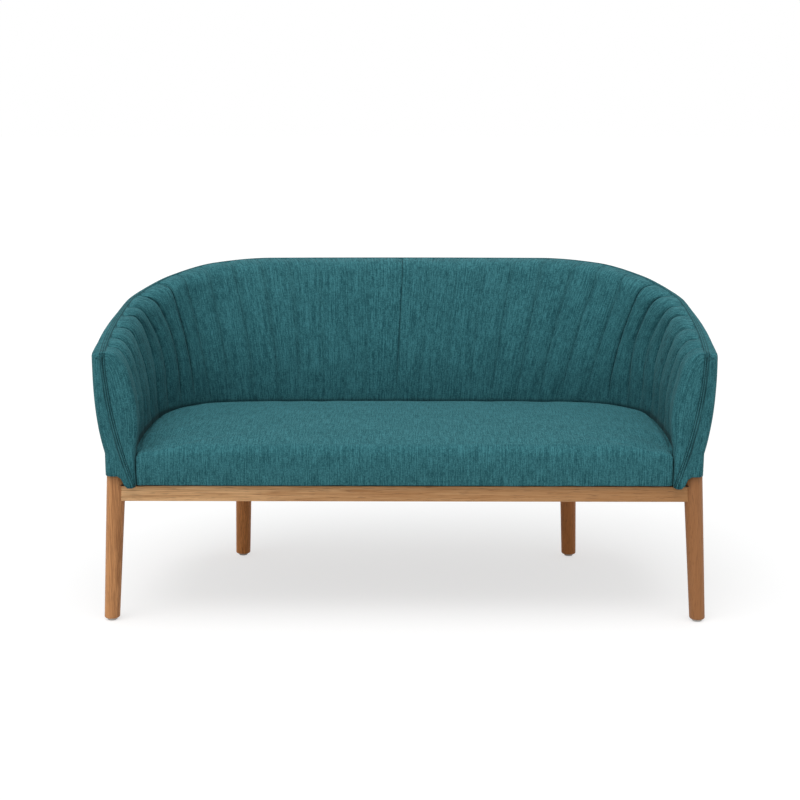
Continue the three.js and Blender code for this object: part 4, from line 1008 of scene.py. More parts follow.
@dataclass
class OuterCover(TubCover):
    """The plain cover outside the tub, lapped over the inner one at the double seam."""

    seam_rows: tuple[float, ...] = (
        0.0, 0.0005, 0.0011, 0.0020, 0.0029, 0.0036, 0.0042, 0.0048, 0.0056, 0.0067, 0.0078,
        0.0086, 0.0092, 0.0098, 0.0108, 0.0126, 0.0155,
    )
    stitch_lines: tuple[float, ...] = (0.0042, 0.0092)
    turn: FrontTurn = FrontTurn(
        radius=0.015,
        crown=0.002,
        seam_gap=0.0001,
        face_places=(0.12, 0.26, 0.4, 0.54, 0.67, *(-gap for gap in reversed(seam_rows))),
    )
    outside: int = 1
    columns: int = 301
    rows_to_hem: int = 41
    back_rows: tuple[int, ...] = (57, 50, 44, 38, 32, 26, 20, 14, 9, 5, 2, 0)
    samples: int = 400
    thickness: float = 0.002
    shoulder: float = 0.010
    least_flat: float = 0.0015
    full_turn: Ramp = Ramp(0.003, 0.022)
    hem_lift: Ramp = Ramp(0.928, 0.948, 0.0, 0.0228)
    hem_clearance: float = 0.0004
    hem_places: tuple[float, ...] = (0.4, 0.8, 1.0)
    lap_fold: float = 0.0012
    lap_rise: Ramp = Ramp(0, 0.0020)
    lap_end: Ramp = Ramp(0.0096, 0.0130, 1.0, -0.85)
    lap_drop: float = 0.0001
    lap_edge: Ramp = Ramp(0, 0.0008)
    stitch_depth: float = 0.0009
    stitch_width: float = 0.0007
    ripple: float = 0.0009
    ripple_seed: int = 9
    ripple_length: float = 0.16
    ripple_start: Ramp = Ramp(0.01, 0.06)
    edge_shade: float = 0.0004
    stitch_shade: float = 0.0001
    outer: Array = field(init=False, repr=False)
    normal: Array = field(init=False, repr=False)

    def turn_radius(self, depth: Array, height: Array, run: Array) -> Array:
        """Return how far each row is drawn in: little beside the double seam, and fully below."""
        tight = self.turn.tight_radius
        return tight + (self.turn.radius - tight) * self.full_turn.at(run)

    def line(self, section: Section) -> tuple[Array, Array]:
        """Return a fine run of depths and heights, from the seam down to the hem.

        Args:
            section: The wall's section, one entry for each column.

        Returns:
            Depths and heights, points by column.
        """
        wall = self.wall
        round_off = np.minimum(self.shoulder, section.inset - self.least_flat)
        flat_count, turn_count = self.samples // 10, self.samples // 8
        share = np.linspace(0, 1, flat_count)[:, None]
        start = section.reach - section.inset + self.turn.seam_gap
        flat = start + (section.reach - round_off - start) * share
        angle = np.linspace(0, math.pi / 2, turn_count)[1:, None]
        turned = section.reach - round_off * (1 - np.sin(angle))
        turned_height = section.top - round_off * (1 - np.cos(angle))
        rise = 1 - np.linspace(0, 1, self.samples - flat_count - turn_count)[1:, None]
        fall = section.top - round_off - wall.flare_start
        flare = section.sill + (section.reach - section.sill) * (1 - (1 - rise) ** section.power)
        flare_height = wall.flare_start + fall * rise
        hem = np.array(self.hem_places)[:, None]
        sill = np.broadcast_to(section.sill, (len(hem), len(section.share)))
        lift = self.hem_lift.at(np.abs(section.share))
        hem_height = wall.bottom + self.hem_clearance + lift
        sill_height = wall.flare_start + (hem_height - wall.flare_start) * hem
        depth = np.concatenate([flat, turned, flare, sill])
        flat_height = np.broadcast_to(section.top, flat.shape)
        return depth, np.concatenate([flat_height, turned_height, flare_height, sill_height])

    def spaced(self, section: Section) -> tuple[Array, Array, Array]:
        """Return the rows of the cover's grid, close together beside the seam.

        Args:
            section: The wall's section, one entry for each column.

        Returns:
            Distances from the seam, depths and heights, by row and column.
        """
        fine_depth, fine_height = self.line(section)
        run = lengths_along(np.stack([fine_depth, fine_height], axis=-1))
        near = np.array(self.seam_rows)
        rest = np.linspace(0, 1, self.rows_to_hem + 1)[1:]
        places = np.empty((len(near) + len(rest), self.columns))
        depth, height = np.empty_like(places), np.empty_like(places)
        for column in range(self.columns):
            far = near[-1] + (run[-1, column] - near[-1]) * rest
            places[:, column] = np.concatenate([near, far])
            for values, fine in ((depth, fine_depth), (height, fine_height)):
                values[:, column] = np.interp(places[:, column], run[:, column], fine[:, column])
        return places, depth, height

    def build(self) -> Piece:
        """Returns:
            The piece.
        """
        wall = self.wall
        shares = np.linspace(-wall.edge_share, wall.edge_share, self.columns)
        section = wall.section(shares)
        places, depth, height = self.spaced(section)
        whole = np.broadcast_to(shares, depth.shape)
        (left, right), gaps, runs = self.fronts(whole, depth, height, places)
        base = np.concatenate([left, section.point(depth, height), right], axis=1)
        self.normal = surface_normals(base)
        gap = np.concatenate([gaps[0], places, gaps[1]], axis=1)
        cloth = wide_cloth(whole * wall.top_line.length, -places, runs)
        ripple = Ripple(self.ripple_seed).at(cloth[..., 0], -cloth[..., 1], self.ripple_length)
        lift = self.lap(gap) + self.ripple * ripple * self.ripple_start.at(gap)
        self.outer = base + self.normal * lift[..., None]
        tuck = np.maximum(-lift, 0)
        rows = list(self.back_rows)
        back = (base - self.normal * (self.thickness + tuck)[..., None])[rows]
        # Dark lines at the joint and along the stitches: part dark joint, part painted shade in
        # their grooves.
        stitched = np.abs(gap[..., None] - np.array(self.stitch_lines)).min(-1)
        seam = np.minimum(gap + self.edge_shade, stitched + self.stitch_shade)
        piece = self.closed("outer_cover_cloth", self.outer, back, rows, cloth, seam=seam)
        return piece

    def lap(self, gap: Array) -> Array:
        """Return how proud the lapped edge stands at each distance from the seam.

        Args:
            gap: Distances from the seam, in metres.

        Returns:
            Heights above the cover's plain surface, in metres.
        """
        fold = self.lap_fold * self.lap_rise.at(gap) * self.lap_end.at(gap)
        drop = self.lap_drop * (1 - self.lap_edge.at(gap))
        stitched = sum(
            np.exp(-(((gap - line) / self.stitch_width) ** 2)) for line in self.stitch_lines
        )
        return fold - drop - self.stitch_depth * stitched

    def stitch_runs(self) -> list[tuple[Array, Array]]:
        """Return each stitch line on the built cover, from the left tip to the right.

        Returns:
            Points and normals of each line.
        """
        runs = []
        last_row, last_column = self.outer.shape[0] - 2, self.outer.shape[1] - 1
        for distance in self.stitch_lines:
            inset = self.seam_rows.index(distance)
            rows = np.arange(last_row, inset, -1)
            left = [(row, inset) for row in rows]
            over = [(inset, column) for column in range(inset, last_column + 1 - inset)]
            right = [(row, last_column - inset) for row in rows[::-1]]
            path = tuple(np.array(left + over + right).T)
            runs.append((self.outer[path], self.normal[path]))
        return runs


@dataclass(frozen=True)
class SeamThread:
    """The thread of the double seam, one stitch after another."""

    pitch: float = 0.0048
    length: float = 0.0036
    radius: float = 0.00042
    sides: int = 6
    rings: tuple[Triple, ...] = (
        (-0.5, 0.25, -0.6), (-0.38, 0.8, 0.1), (0.0, 1.0, 0.5), (0.38, 0.8, 0.1), (0.5, 0.25, -0.6),
    )

    def build(self, runs: Sequence[tuple[Array, Array]]) -> Piece:
        """Build all stitches as one piece.

        Args:
            runs: Points and normals of each stitch line.

        Returns:
            The piece.
        """
        points, faces = [], []
        for line, normals in runs:
            run = lengths_along(line)
            middles = (np.arange(int(run[-1] / self.pitch)) + 0.5) * self.pitch
            place, ahead, up = (
                np.stack([np.interp(at, run, values[:, axis]) for axis in range(3)], 1)
                for at, values in ((middles, line), (middles + 0.001, line), (middles, normals))
            )
            for centre, forward, normal in zip(place, ahead, up):
                faces += tube_faces(len(self.rings), self.sides, len(points))
                points += self.stitch(centre, forward - centre, normal)
        return mesh_object("seam_thread", np.array(points), faces)

    def stitch(self, centre: Array, along: Array, up: Array) -> list[Array]:
        """Return the points of one stitch, a short rounded bead pulled into the cloth.

        Args:
            centre: Its middle.
            along: The way that it runs.
            up: The cloth's normal there.

        Returns:
            Points, ring by ring.
        """
        along = along / max(np.linalg.norm(along), 1e-9)
        side = np.cross(along, up)
        side = side / max(np.linalg.norm(side), 1e-9)
        up = np.cross(side, along)
        points = []
        for share, size, lift in self.rings:
            middle = centre + along * share * self.length + up * lift * self.radius
            for corner in range(self.sides):
                angle = 2 * math.pi * corner / self.sides
                spoke = side * math.cos(angle) + up * math.sin(angle)
                points.append(middle + spoke * size * self.radius)
        return points


@dataclass(frozen=True)
class SeatPad:
    """The tight bench seat: a crowned pad with soft front corners."""

    wall: TubWall
    clearance: float = 0.0007
    face: float = -0.345
    edge_height: float = 0.404
    crown: float = 0.018
    crown_power: float = 0.9
    crown_rays: int = 150
    first_ray: float = 0.01
    missed_rim: float = 9.0
    outline_counts: tuple[int, int, int] = (90, 14, 41)
    roll: float = 0.029
    roll_steps: int = 14
    roll_inset: float = 0.95
    corner_sag: float = 0.014
    sag_width: Pair = (0.085, 0.005)
    sag_depth: Ramp = Ramp(0.25, 0.345)
    corner_radius: float = 0.003
    top_corner: float = 0.042
    apron_bottom: float = 0.3128
    apron_ease: Pair = (0.030, 0.012)
    underside: float = 0.3785
    side_skirt: float = 0.009
    under_inset: float = 0.018
    under_places: tuple[float, ...] = (0.25, 0.6, 0.9, 1.0)
    hem_turn: tuple[Triple, ...] = (
        (0.014, 0.5, 0.0), (0.012, 0.0, 0.0), (0.004, 0.0, 0.0), (0.0006, 0.0, 0.0015),
    )
    hem_rise: float = 0.004
    hem_wave: float = 0.0008
    hem_wave_seed: int = 31
    hem_wave_length: float = 0.09
    side_steps: int = 16
    side_bulge: float = 0.0024
    top_places: tuple[float, ...] = (
        0.985, 0.965, 0.94, 0.91, 0.87, 0.82, 0.76, 0.69, 0.61, 0.52, 0.42, 0.32, 0.22, 0.12, 0.04,
    )
    ripple: float = 0.0009
    ripple_seed: int = 21
    ripple_length: float = 0.11
    ripple_from: float = 0.39
    cloth_slope: float = 1.8

    def outline(self, shift: float, corner: float) -> Array:
        """Return the pad's outline, moved inward and with rounded front corners.

        Args:
            shift: How far it lies inside the widest outline, in metres.
            corner: Radius of its front corners.

        Returns:
            Points round it as x and y, the same number for every shift.
        """
        section = self.wall.section(np.linspace(0, 1, 500))
        curve = section.base - section.out * (self.clearance + shift)
        run = lengths_along(curve)
        front = self.face + shift
        last = np.interp(-(front + corner), -curve[:, 1], run)
        side_count, corner_count, front_count = self.outline_counts
        places = np.linspace(0, last, side_count)
        side = np.stack([np.interp(places, run, curve[:, axis]) for axis in (0, 1)], axis=1)
        angles = np.linspace(0, math.pi / 2, corner_count)[1:-1]
        centre = side[-1] * [1, 0] + [-corner, front + corner]
        arc = centre + corner * np.stack([np.cos(angles), -np.sin(angles)], axis=1)
        across = np.linspace(centre[0], 0, front_count)
        ahead = np.stack([across, np.full(front_count, front)], axis=1)
        half = np.concatenate([side, arc, ahead])
        return np.concatenate([half, half[1:-1][::-1] * [-1, 1]])

    def swell(self, rim: Array, places: Array) -> Array:
        """Return how far a skin held at the rim swells over the filling, from 0 to 1.

        Args:
            rim: The outline that holds it, as x and y.
            places: Where to read it, x and y in the last axis.

        Returns:
            The swell at each place.
        """
        along = np.roll(rim, -1, axis=0) - rim
        offset = rim - places[..., None, :]
        nearness = np.zeros(places.shape[:-1])
        for turn in np.arange(self.crown_rays) * 2 * math.pi / self.crown_rays + self.first_ray:
            x, y = math.cos(turn), math.sin(turn)
            cross = x * along[:, 1] - y * along[:, 0]
            cross = np.where(np.abs(cross) < 1e-12, 1e-12, cross)
            distance = (offset[..., 0] * along[:, 1] - offset[..., 1] * along[:, 0]) / cross
            share = (offset[..., 0] * y - offset[..., 1] * x) / cross
            hit = (distance > 0) & (share >= 0) & (share <= 1)
            nearness += 1 / np.where(hit, distance, self.missed_rim).min(axis=-1)
        room = 1 / nearness
        return (room / room.max()) ** self.crown_power

    def loops(self) -> list[tuple[Array, Array | float]]:
        """Return the loops of the pad, from the middle of its underside to that of its top.

        Returns:
            Each loop's outline and its height.
        """
        radius = self.corner_radius
        flat = self.outline(0.0, radius)
        far, near = self.apron_ease
        frontness = smooth(-flat[:, 1], -self.face - far, -self.face - near)
        side_x = flat[:, 0].max()
        inner, outer = self.sag_width
        cornered = smooth(np.abs(flat[:, 0]), side_x - inner, side_x - outer)
        sag = self.corner_sag * cornered * self.sag_depth.at(-flat[:, 1])
        wave = Ripple(self.hem_wave_seed).at(flat[:, 0], flat[:, 1], self.hem_wave_length)
        hem = self.hem_wave + self.hem_wave * wave
        drop = self.apron_bottom - self.underside - self.side_skirt
        skirt = self.underside + self.side_skirt + drop * frontness
        skirt = skirt + np.maximum(hem, 0) * frontness
        middle = np.array([0.0, (self.face + self.wall.seat_line.back) / 2])
        under = self.outline(self.under_inset, radius) - middle
        loops = [(middle + under * share, self.underside) for share in self.under_places]
        for shift, share, rise in self.hem_turn:
            height = skirt + (self.underside - skirt) * share + rise
            loops.append((self.outline(shift, radius), height))
        low, high = skirt + self.hem_rise, self.edge_height - self.roll
        for share in np.linspace(0, 1, self.side_steps):
            bulged = flat.copy()
            bulged[:, 1] -= self.side_bulge * math.sin(math.pi * share) * frontness
            loops.append((bulged, low + (high - low) * share))
        for step in range(1, self.roll_steps + 1):
            angle = math.pi / 2 * step / self.roll_steps
            turned = 1 - math.cos(angle)
            corner = radius + (self.top_corner - radius) * turned
            outline = self.outline(self.roll * self.roll_inset * turned, corner)
            loops.append((outline, high + self.roll * math.sin(angle) - sag * math.sin(angle)))
        rim = loops[-1][0] - middle
        for share in self.top_places:
            loops.append((middle + rim * share, self.edge_height - sag * share**8))
        return loops

    def build(self) -> Piece:
        """Returns:
            The piece.
        """
        loops = self.loops()
        top = len(self.top_places)
        count = len(loops[0][0])
        grid = np.array([
            np.concatenate([outline, np.broadcast_to(height, count)[:, None]], axis=1)
            for outline, height in loops
        ])
        rim = grid[-top - 1, ::3, :2]
        grid[-top:, :, 2] += self.crown * self.swell(rim, grid[-top:, :, :2])
        upper = np.arange(len(loops)) > len(self.under_places) + len(self.hem_turn)
        ripple = Ripple(self.ripple_seed)
        ripple = ripple.at(grid[..., 0], grid[..., 1] + grid[..., 2], self.ripple_length)
        grid[..., 2] += self.ripple * ripple * (upper[:, None] & (grid[..., 2] > self.ripple_from))
        piece = mesh_object("bench_seat_pad", grid, tube_faces(len(loops), count))
        points = grid.reshape(-1, 3)
        down = self.cloth_slope * points[:, 1] + points[:, 2]
        store(piece, "cloth", np.stack([points[:, 0], down, np.zeros(len(points))], axis=1))
        store(piece, "seam", np.full(len(points), 1.0))
        return piece


@dataclass(frozen=True)
class Leg:
    """A round tapered leg, turned, with its foot's edge eased and a hole for the glide's nail."""

    name: str
    foot: Pair
    top: Pair
    top_height: float
    foot_radius: float
    top_radius: float
    foot_height: float = 0.0053
    foot_ease: float = 0.0035
    top_ease: float = 0.0008
    nail_radius: float = 0.0019
    nail_top: float = 0.0207
    ease_steps: int = 5
    side_rings: tuple[float, float, int] = (0.012, 0.001, 26)
    sides: int = 72

    def centre(self, height: float) -> Array:
        """Return the middle of the leg at a height."""
        share = height / self.top_height
        return np.array([*(np.array(self.foot) * (1 - share) + np.array(self.top) * share), height])

    def radius(self, height: float) -> float:
        """Return the leg's radius at a height."""
        share = height / self.top_height
        return self.foot_radius + (self.top_radius - self.foot_radius) * share

    def profile(self) -> list[tuple[float, float | None]]:
        """Return the heights of the leg's rings, and how far each is drawn in.

        Returns:
            Heights and distances, from the top of the nail's hole, whose rings have none.
        """
        profile = [(self.nail_top, None), (self.foot_height, None)]
        for step in range(self.ease_steps + 1):
            angle = math.pi / 2 * step / self.ease_steps
            height = self.foot_height + self.foot_ease * (1 - math.cos(angle))
            profile.append((height, self.foot_ease * (1 - math.sin(angle))))
        first, spare, count = self.side_rings
        sides = np.linspace(first, self.top_height - spare, count)
        profile += [(height, 0.0) for height in sides]
        return [*profile, (self.top_height, self.top_ease)]

    def build(self) -> Piece:
        """Build the leg.

        Returns:
            The piece.
        """
        rings = []
        turn = 2 * math.pi * np.arange(self.sides) / self.sides
        for height, drawn in self.profile():
            radius = self.nail_radius if drawn is None else self.radius(height) - drawn
            middle = self.centre(self.foot_height if drawn is None else height)
            x = middle[0] + radius * np.cos(turn)
            y = middle[1] + radius * np.sin(turn)
            rings.append(np.stack([x, y, np.full(self.sides, height)], axis=1))
        return mesh_object(self.name, np.concatenate(rings), tube_faces(len(rings), self.sides))


@dataclass(frozen=True)
class FrontRail:
    """The front rail of the base, its ends coped round the front legs."""

    left: Leg
    right: Leg
    front: float = -0.335
    back: float = -0.307
    bottom: float = 0.276
    top: float = 0.311
    ease: float = 0.0022
    ease_steps: int = 4
    gap: float = 0.0003
    places: tuple[float, ...] = (0, 0.002, *np.linspace(0.02, 0.98, 25), 0.998, 1)

    def profile(self) -> list[Pair]:
        """Return the rail's section, its long edges eased.

        Returns:
            Its points as y and z.
        """
        corners = (
            (self.front, self.bottom, 180), (self.back, self.bottom, 270),
            (self.back, self.top, 0), (self.front, self.top, 90),
        )
        outline = []
        for y, z, first in corners:
            inner_y = y + self.ease * (1 if y == self.front else -1)
            inner_z = z + self.ease * (1 if z == self.bottom else -1)
            for step in range(self.ease_steps + 1):
                angle = math.radians(first + 90 / self.ease_steps * step)
                across, up = self.ease * math.cos(angle), self.ease * math.sin(angle)
                outline.append((inner_y + across, inner_z + up))
        return outline

    def end(self, leg: Leg, y: float, z: float) -> float:
        """Return where the rail's end meets a leg, at a place of its section.

        Args:
            leg: The leg.
            y: The place's depth.
            z: Its height.

        Returns:
            The end's x.
        """
        middle = leg.centre(z)
        radius = leg.radius(z) + self.gap
        half = math.sqrt(max(radius**2 - (y - middle[1]) ** 2, 0))
        return middle[0] - math.copysign(half, middle[0])

    def build(self) -> Piece:
        """Build the rail.

        Returns:
            The piece.
        """
        outline = self.profile()
        ends = [(self.end(self.left, y, z), self.end(self.right, y, z)) for y, z in outline]
        rings = [
            [(start + (end - start) * share, y, z) for (start, end), (y, z) in zip(ends, outline)]
            for share in self.places
        ]
        faces = tube_faces(len(rings), len(outline))
        return mesh_object("eased_front_rail", np.array(rings), faces)


@dataclass(frozen=True)
class DustCloth:
    """The black cloth stapled under the body, with a slight sag between the rails."""

    wall: TubWall
    inset: float = 0.013
    under: float = 0.3114
    thickness: float = 0.0006
    sag: float = 0.0032
    sag_room: Ramp = Ramp(0.004, 0.16)
    rows: int = 60
    columns: int = 121
    cross_rail_half: float = 0.014
    front_rail: float = 0.306
    back_rail: float = 0.150
    side_rail_start: Pair = (0.62, 0.32)
    side_rail_run: float = 0.48
    side_rail_taper: float = 0.21

    def build(self) -> Piece:
        """Returns:
            The piece.
        """
        section = self.wall.section(np.linspace(-1, 1, self.columns))
        edge = section.base + section.out * (section.sill - self.inset)[:, None]
        edge[:, 1] = np.maximum(edge[:, 1], self.wall.front + self.inset)
        front = np.linspace(edge[0, 0], edge[-1, 0], self.columns)
        share = (np.arange(self.rows) / (self.rows - 1))[:, None]
        x = front + (edge[:, 0] - front) * share
        y = edge[0, 1] + (edge[:, 1] - edge[0, 1]) * share
        wide, start = self.side_rail_start
        side_rail = wide - (y + start) / self.side_rail_run * self.side_rail_taper
        room = np.minimum(np.abs(x) - self.cross_rail_half, side_rail - np.abs(x))
        room = np.minimum(room, np.minimum(y + self.front_rail, self.back_rail - y))
        lower = np.stack([x, y, self.under - self.sag * self.sag_room.at(room)], axis=-1)
        upper = lower + [0, 0, self.thickness]
        faces = shell_faces(self.rows, range(self.rows - 1, -1, -1), self.columns)
        piece = mesh_object("sagging_dust_cloth", np.concatenate([lower, upper[::-1]]), faces)
        return piece


def tone(red: int, green: int, blue: int) -> tuple[float, float, float, float]:
    """Return a colour for a shader socket from its everyday 0 to 255 values."""
    cut = np.array([red, green, blue]) / 255
    return (*np.where(cut <= 0.04045, cut / 12.92, ((cut + 0.055) / 1.055) ** 2.4).tolist(), 1.0)


class NodeSheet:
    """Places and links the nodes of one material or group."""

    def __init__(self, tree: NodeTree) -> None:
        """Keep the tree."""
        self.tree = tree
        self.count = 0

    def add(self, kind: str, feeds: dict | None = None, **settings: object) -> Node:
        """Place a node.

        Args:
            kind: Its type, without the leading ShaderNode.
            feeds: For each socket's name or number, a value or the output that feeds it.
            settings: Its own settings.

        Returns:
            The node.
        """
        node = self.tree.nodes.new("ShaderNode" + kind)
        node.location = (180 * (self.count % 12), -220 * (self.count // 12))
        self.count += 1
        for name, value in settings.items():
            setattr(node, name, value)
        for socket, value in (feeds or {}).items():
            if isinstance(value, Socket):
                self.tree.links.new(value, node.inputs[socket])
            else:
                node.inputs[socket].default_value = value
        return node

    def math(self, operation: str, *feeds: object) -> Socket:
        """Place a Math node and return its output."""
        return self.add("Math", dict(enumerate(feeds)), operation=operation).outputs[0]

    def scaled(self, vector: Socket, scale: Triple) -> Socket:
        """Return the vector with each of its parts multiplied."""
        return self.add("VectorMath", {0: vector, 1: scale}, operation="MULTIPLY").outputs[0]

    def noise(
        self, vector: Socket, scale: Triple, detail: float = 2.0, rough: float = 0.5
    ) -> Socket:
        """Return a noise over a stretched vector.

        Args:
            vector: Where to read it.
            scale: How often it changes along each axis, in changes a metre.
            detail: How many finer layers it has.
            rough: How strong those are.

        Returns:
            Values from 0 to 1.
        """
        feeds = {
            "Vector": self.scaled(vector, scale), "Scale": 1.0, "Detail": detail,
            "Roughness": rough,
        }
        return self.add("TexNoise", feeds).outputs[0]

    def mix(self, share: object, first: object, second: object) -> Socket:
        """Return a mix of two colours: the first at share 0 and the second at 1."""
        return self.add("Mix", {0: share, 6: first, 7: second}, data_type="RGBA").outputs[2]

    def between(
        self, value: object, low: float, high: float, to_low: float, to_high: float
    ) -> Socket:
        """Return a value eased from one range to another.

        Args:
            value: The value.
            low: Where its range starts.
            high: Where that ends.
            to_low: What it becomes at the start.
            to_high: What it becomes at the end.

        Returns:
            The eased value.
        """
        feeds = {
            "Value": value, "From Min": low, "From Max": high, "To Min": to_low,
            "To Max": to_high,
        }
        return self.add("MapRange", feeds, interpolation_type="SMOOTHSTEP").outputs[0]

    def seen(self) -> Socket:
        """Place what tells the camera's view from light.

        Returns:
            1 for what the camera sees, straight or in gloss or glass, and otherwise 0.
        """
        path = self.add("LightPath").outputs
        seen = self.math("MAXIMUM", path["Is Camera Ray"], path["Is Glossy Ray"])
        return self.math("MAXIMUM", seen, path["Is Transmission Ray"])

    def surface(
        self, shader: Node, colour: Socket, rough: Socket, height: Socket, bump: Pair
    ) -> None:
        """Feed a surface shader.

        Args:
            shader: The shader.
            colour: Feeds its colour.
            rough: Feeds its roughness.
            height: Feeds its bump.
            bump: The bump's strength, and its depth in metres.
        """
        strength, depth = bump
        raised = self.add("Bump", {"Height": height, "Strength": strength, "Distance": depth})
        feeds = {"Base Color": colour, "Roughness": rough, "Normal": raised.outputs[0]}
        for socket, value in feeds.items():
            self.tree.links.new(value, shader.inputs[socket])


class Effect(Enum):
    """The effects that the settee's materials share."""

    WEAVE = "woven_slub_cloth"
    GRAIN = "oiled_wood_grain"
    SPECKLE = "fine_speckle"


class Workshop:
    """Holds the shared effects as node groups, each made once, and makes the materials."""

    yarn_pitch: float = 0.0016

    def __init__(self) -> None:
        """Make the groups."""
        self.groups = {
            Effect.WEAVE: self.weave(),
            Effect.GRAIN: self.grain(),
            Effect.SPECKLE: self.speckle(),
        }

    def group(
        self, effect: Effect, inputs: dict[str, str], outputs: dict[str, str]
    ) -> tuple[NodeSheet, bpy.types.bpy_prop_collection, Node]:
        """Make an empty group with named sockets.

        Args:
            effect: What it makes.
            inputs: Socket types by name.
            outputs: Socket types by name.

        Returns:
            The group's node sheet, the values that it is given, and its output node.
        """
        tree = bpy.data.node_groups.new(effect.value, "ShaderNodeTree")
        for name, kind in inputs.items():
            tree.interface.new_socket(name, in_out="INPUT", socket_type="NodeSocket" + kind)
        for name, kind in outputs.items():
            tree.interface.new_socket(name, in_out="OUTPUT", socket_type="NodeSocket" + kind)
        given = tree.nodes.new("NodeGroupInput").outputs
        return NodeSheet(tree), given, tree.nodes.new("NodeGroupOutput")

    @staticmethod
    def closed(sheet: NodeSheet, end: Node, **outputs: Socket) -> NodeTree:
        """Feed a group's outputs.

        Args:
            sheet: The group's node sheet.
            end: Its output node.
            outputs: What feeds each output, by name.

        Returns:
            The group.
        """
        for name, value in outputs.items():
            sheet.tree.links.new(value, end.inputs[name])
        return sheet.tree

    def weave(self) -> NodeTree:
        """Make the heathered cloth: upright slubs, crossing yarns, darker seams and painted shade.

        Returns:
            The group.
        """
        sheet, given, end = self.group(
            Effect.WEAVE,
            {
                "Cloth": "Vector", "Seam": "Float", "Fold": "Float", "Dark yarn": "Color",
                "Light yarn": "Color", "Seam shade": "Color",
            },
            {"Colour": "Color", "Roughness": "Float", "Height": "Float"},
        )
        cloth = given["Cloth"]
        slub = sheet.noise(cloth, (430.0, 66.0, 1.0), 2.0, 0.6)
        long, yarn, cross, fleck, patch, mottle = (
            sheet.noise(cloth, (across, along, 1.0), detail)
            for across, along, detail in (
                (390.0, 11.0, 1.0), (900.0, 240.0, 1.0), (110.0, 560.0, 1.0),
                (480.0, 330.0, 1.0), (9.0, 6.0, 2.0), (60.0, 34.0, 1.0),
            )
        )
        total = sheet.math("MULTIPLY", slub, 0.9)
        for part, weight in (
            (long, 0.65), (yarn, 0.65), (cross, 0.35), (fleck, 0.5), (patch, 0.14), (mottle, 0.26),
        ):
            total = sheet.math("MULTIPLY_ADD", part, weight, total)
        share = sheet.between(total, 1.375, 2.075, 0.0, 1.0)
        colour = sheet.mix(share, given["Dark yarn"], given["Light yarn"])
        # Painted shade: the cloth darkens towards the seam shade colour where the fold mark is
        # high.
        folded = sheet.math("MULTIPLY", given["Fold"], 0.24)
        colour = sheet.mix(folded, colour, given["Seam shade"])
        # Dark seam lines: part sewn joint, part painted crease, contact and lip shade.
        shade = sheet.between(given["Seam"], 0.0001, 0.0020, 0.85, 0.0)
        colour = sheet.mix(shade, colour, given["Seam shade"])
        rough = sheet.between(total, 1.3, 2.2, 0.97, 0.86)
        turns = sheet.scaled(cloth, (*(2 * math.pi / self.yarn_pitch,) * 2, 0.0))
        waves = sheet.add("VectorMath", {0: turns}, operation="SINE").outputs[0]
        parts = sheet.add("SeparateXYZ", {0: waves})
        knots = sheet.math("MULTIPLY", parts.outputs[0], parts.outputs[1])
        height = sheet.math("MULTIPLY_ADD", knots, 0.22, sheet.math("MULTIPLY", share, 0.6))
        height = sheet.math("MULTIPLY_ADD", yarn, 0.5, height)
        return self.closed(sheet, end, Colour=colour, Roughness=rough, Height=height)

    def grain(self) -> NodeTree:
        """Make the wood: broad figure, fine streaks and pores along the grain, darker towards the
        settee's right side.

        Returns:
            The group.
        """
        sheet, given, end = self.group(
            Effect.GRAIN,
            {
                "Along grain": "Vector", "Across base": "Float", "Pale wood": "Color",
                "Deep wood": "Color", "Pore": "Color",
            },
            {"Colour": "Color", "Roughness": "Float", "Height": "Float"},
        )
        place = given["Along grain"]
        figure = sheet.noise(place, (1.6, 26.0, 26.0), 3.0, 0.55)
        streak = sheet.noise(place, (8.0, 330.0, 330.0), 3.0, 0.6)
        fine = sheet.noise(place, (16.0, 620.0, 620.0), 2.0, 0.6)
        total = sheet.math("MULTIPLY_ADD", streak, 0.75, sheet.math("MULTIPLY", figure, 0.9))
        total = sheet.math("MULTIPLY_ADD", fine, 0.5, total)
        share = sheet.between(total, 0.78, 1.35, 0.0, 1.0)
        colour = sheet.mix(share, given["Deep wood"], given["Pale wood"])
        # Darker towards the settee's right side, along x.
        deeper = sheet.between(given["Across base"], -0.7, 0.7, 0.0, 0.80)
        colour = sheet.mix(deeper, colour, given["Deep wood"])
        pores = sheet.noise(place, (34.0, 900.0, 900.0), 1.0)
        shade = sheet.between(pores, 0.60, 0.72, 0.0, 0.55)
        colour = sheet.mix(shade, colour, given["Pore"])
        rough = sheet.between(total, 0.8, 1.35, 0.58, 0.46)
        height = sheet.math("MULTIPLY_ADD", shade, -0.7, sheet.math("MULTIPLY", fine, 0.4))
        return self.closed(sheet, end, Colour=colour, Roughness=rough, Height=height)

    def speckle(self) -> NodeTree:
        """Make a fine speckle for boards, plastic, metal, webbing and thread.

        Returns:
            The group.
        """
        sheet, given, end = self.group(
            Effect.SPECKLE,
            {"Place": "Vector", "First": "Color", "Second": "Color"},
            {"Colour": "Color", "Mask": "Float"},
        )
        fine = sheet.noise(given["Place"], (1.0, 1.0, 1.0), 4.0, 0.65)
        mask = sheet.between(fine, 0.36, 0.64, 0.0, 1.0)
        colour = sheet.mix(mask, given["First"], given["Second"])
        return self.closed(sheet, end, Colour=colour, Mask=mask)

    def material(self, name: str, constants: dict) -> tuple[Material, NodeSheet, Node]:
        """Make a new material.

        Args:
            name: Its name.
            constants: Values for its surface shader's own sockets.

        Returns:
            The material, its node sheet and its one surface shader.
        """
        material = bpy.data.materials.new(name)
        material.use_nodes = True
        tree = material.node_tree
        tree.nodes.clear()
        sheet = NodeSheet(tree)
        shader = sheet.add("BsdfPrincipled", constants)
        output = sheet.add("OutputMaterial")
        tree.links.new(shader.outputs[0], output.inputs["Surface"])
        return material, sheet, shader

    def place(self, sheet: NodeSheet, effect: Effect, feeds: dict) -> Node:
        """Place a shared effect in a material with its own values."""
        return sheet.add("Group", feeds, node_tree=self.groups[effect])


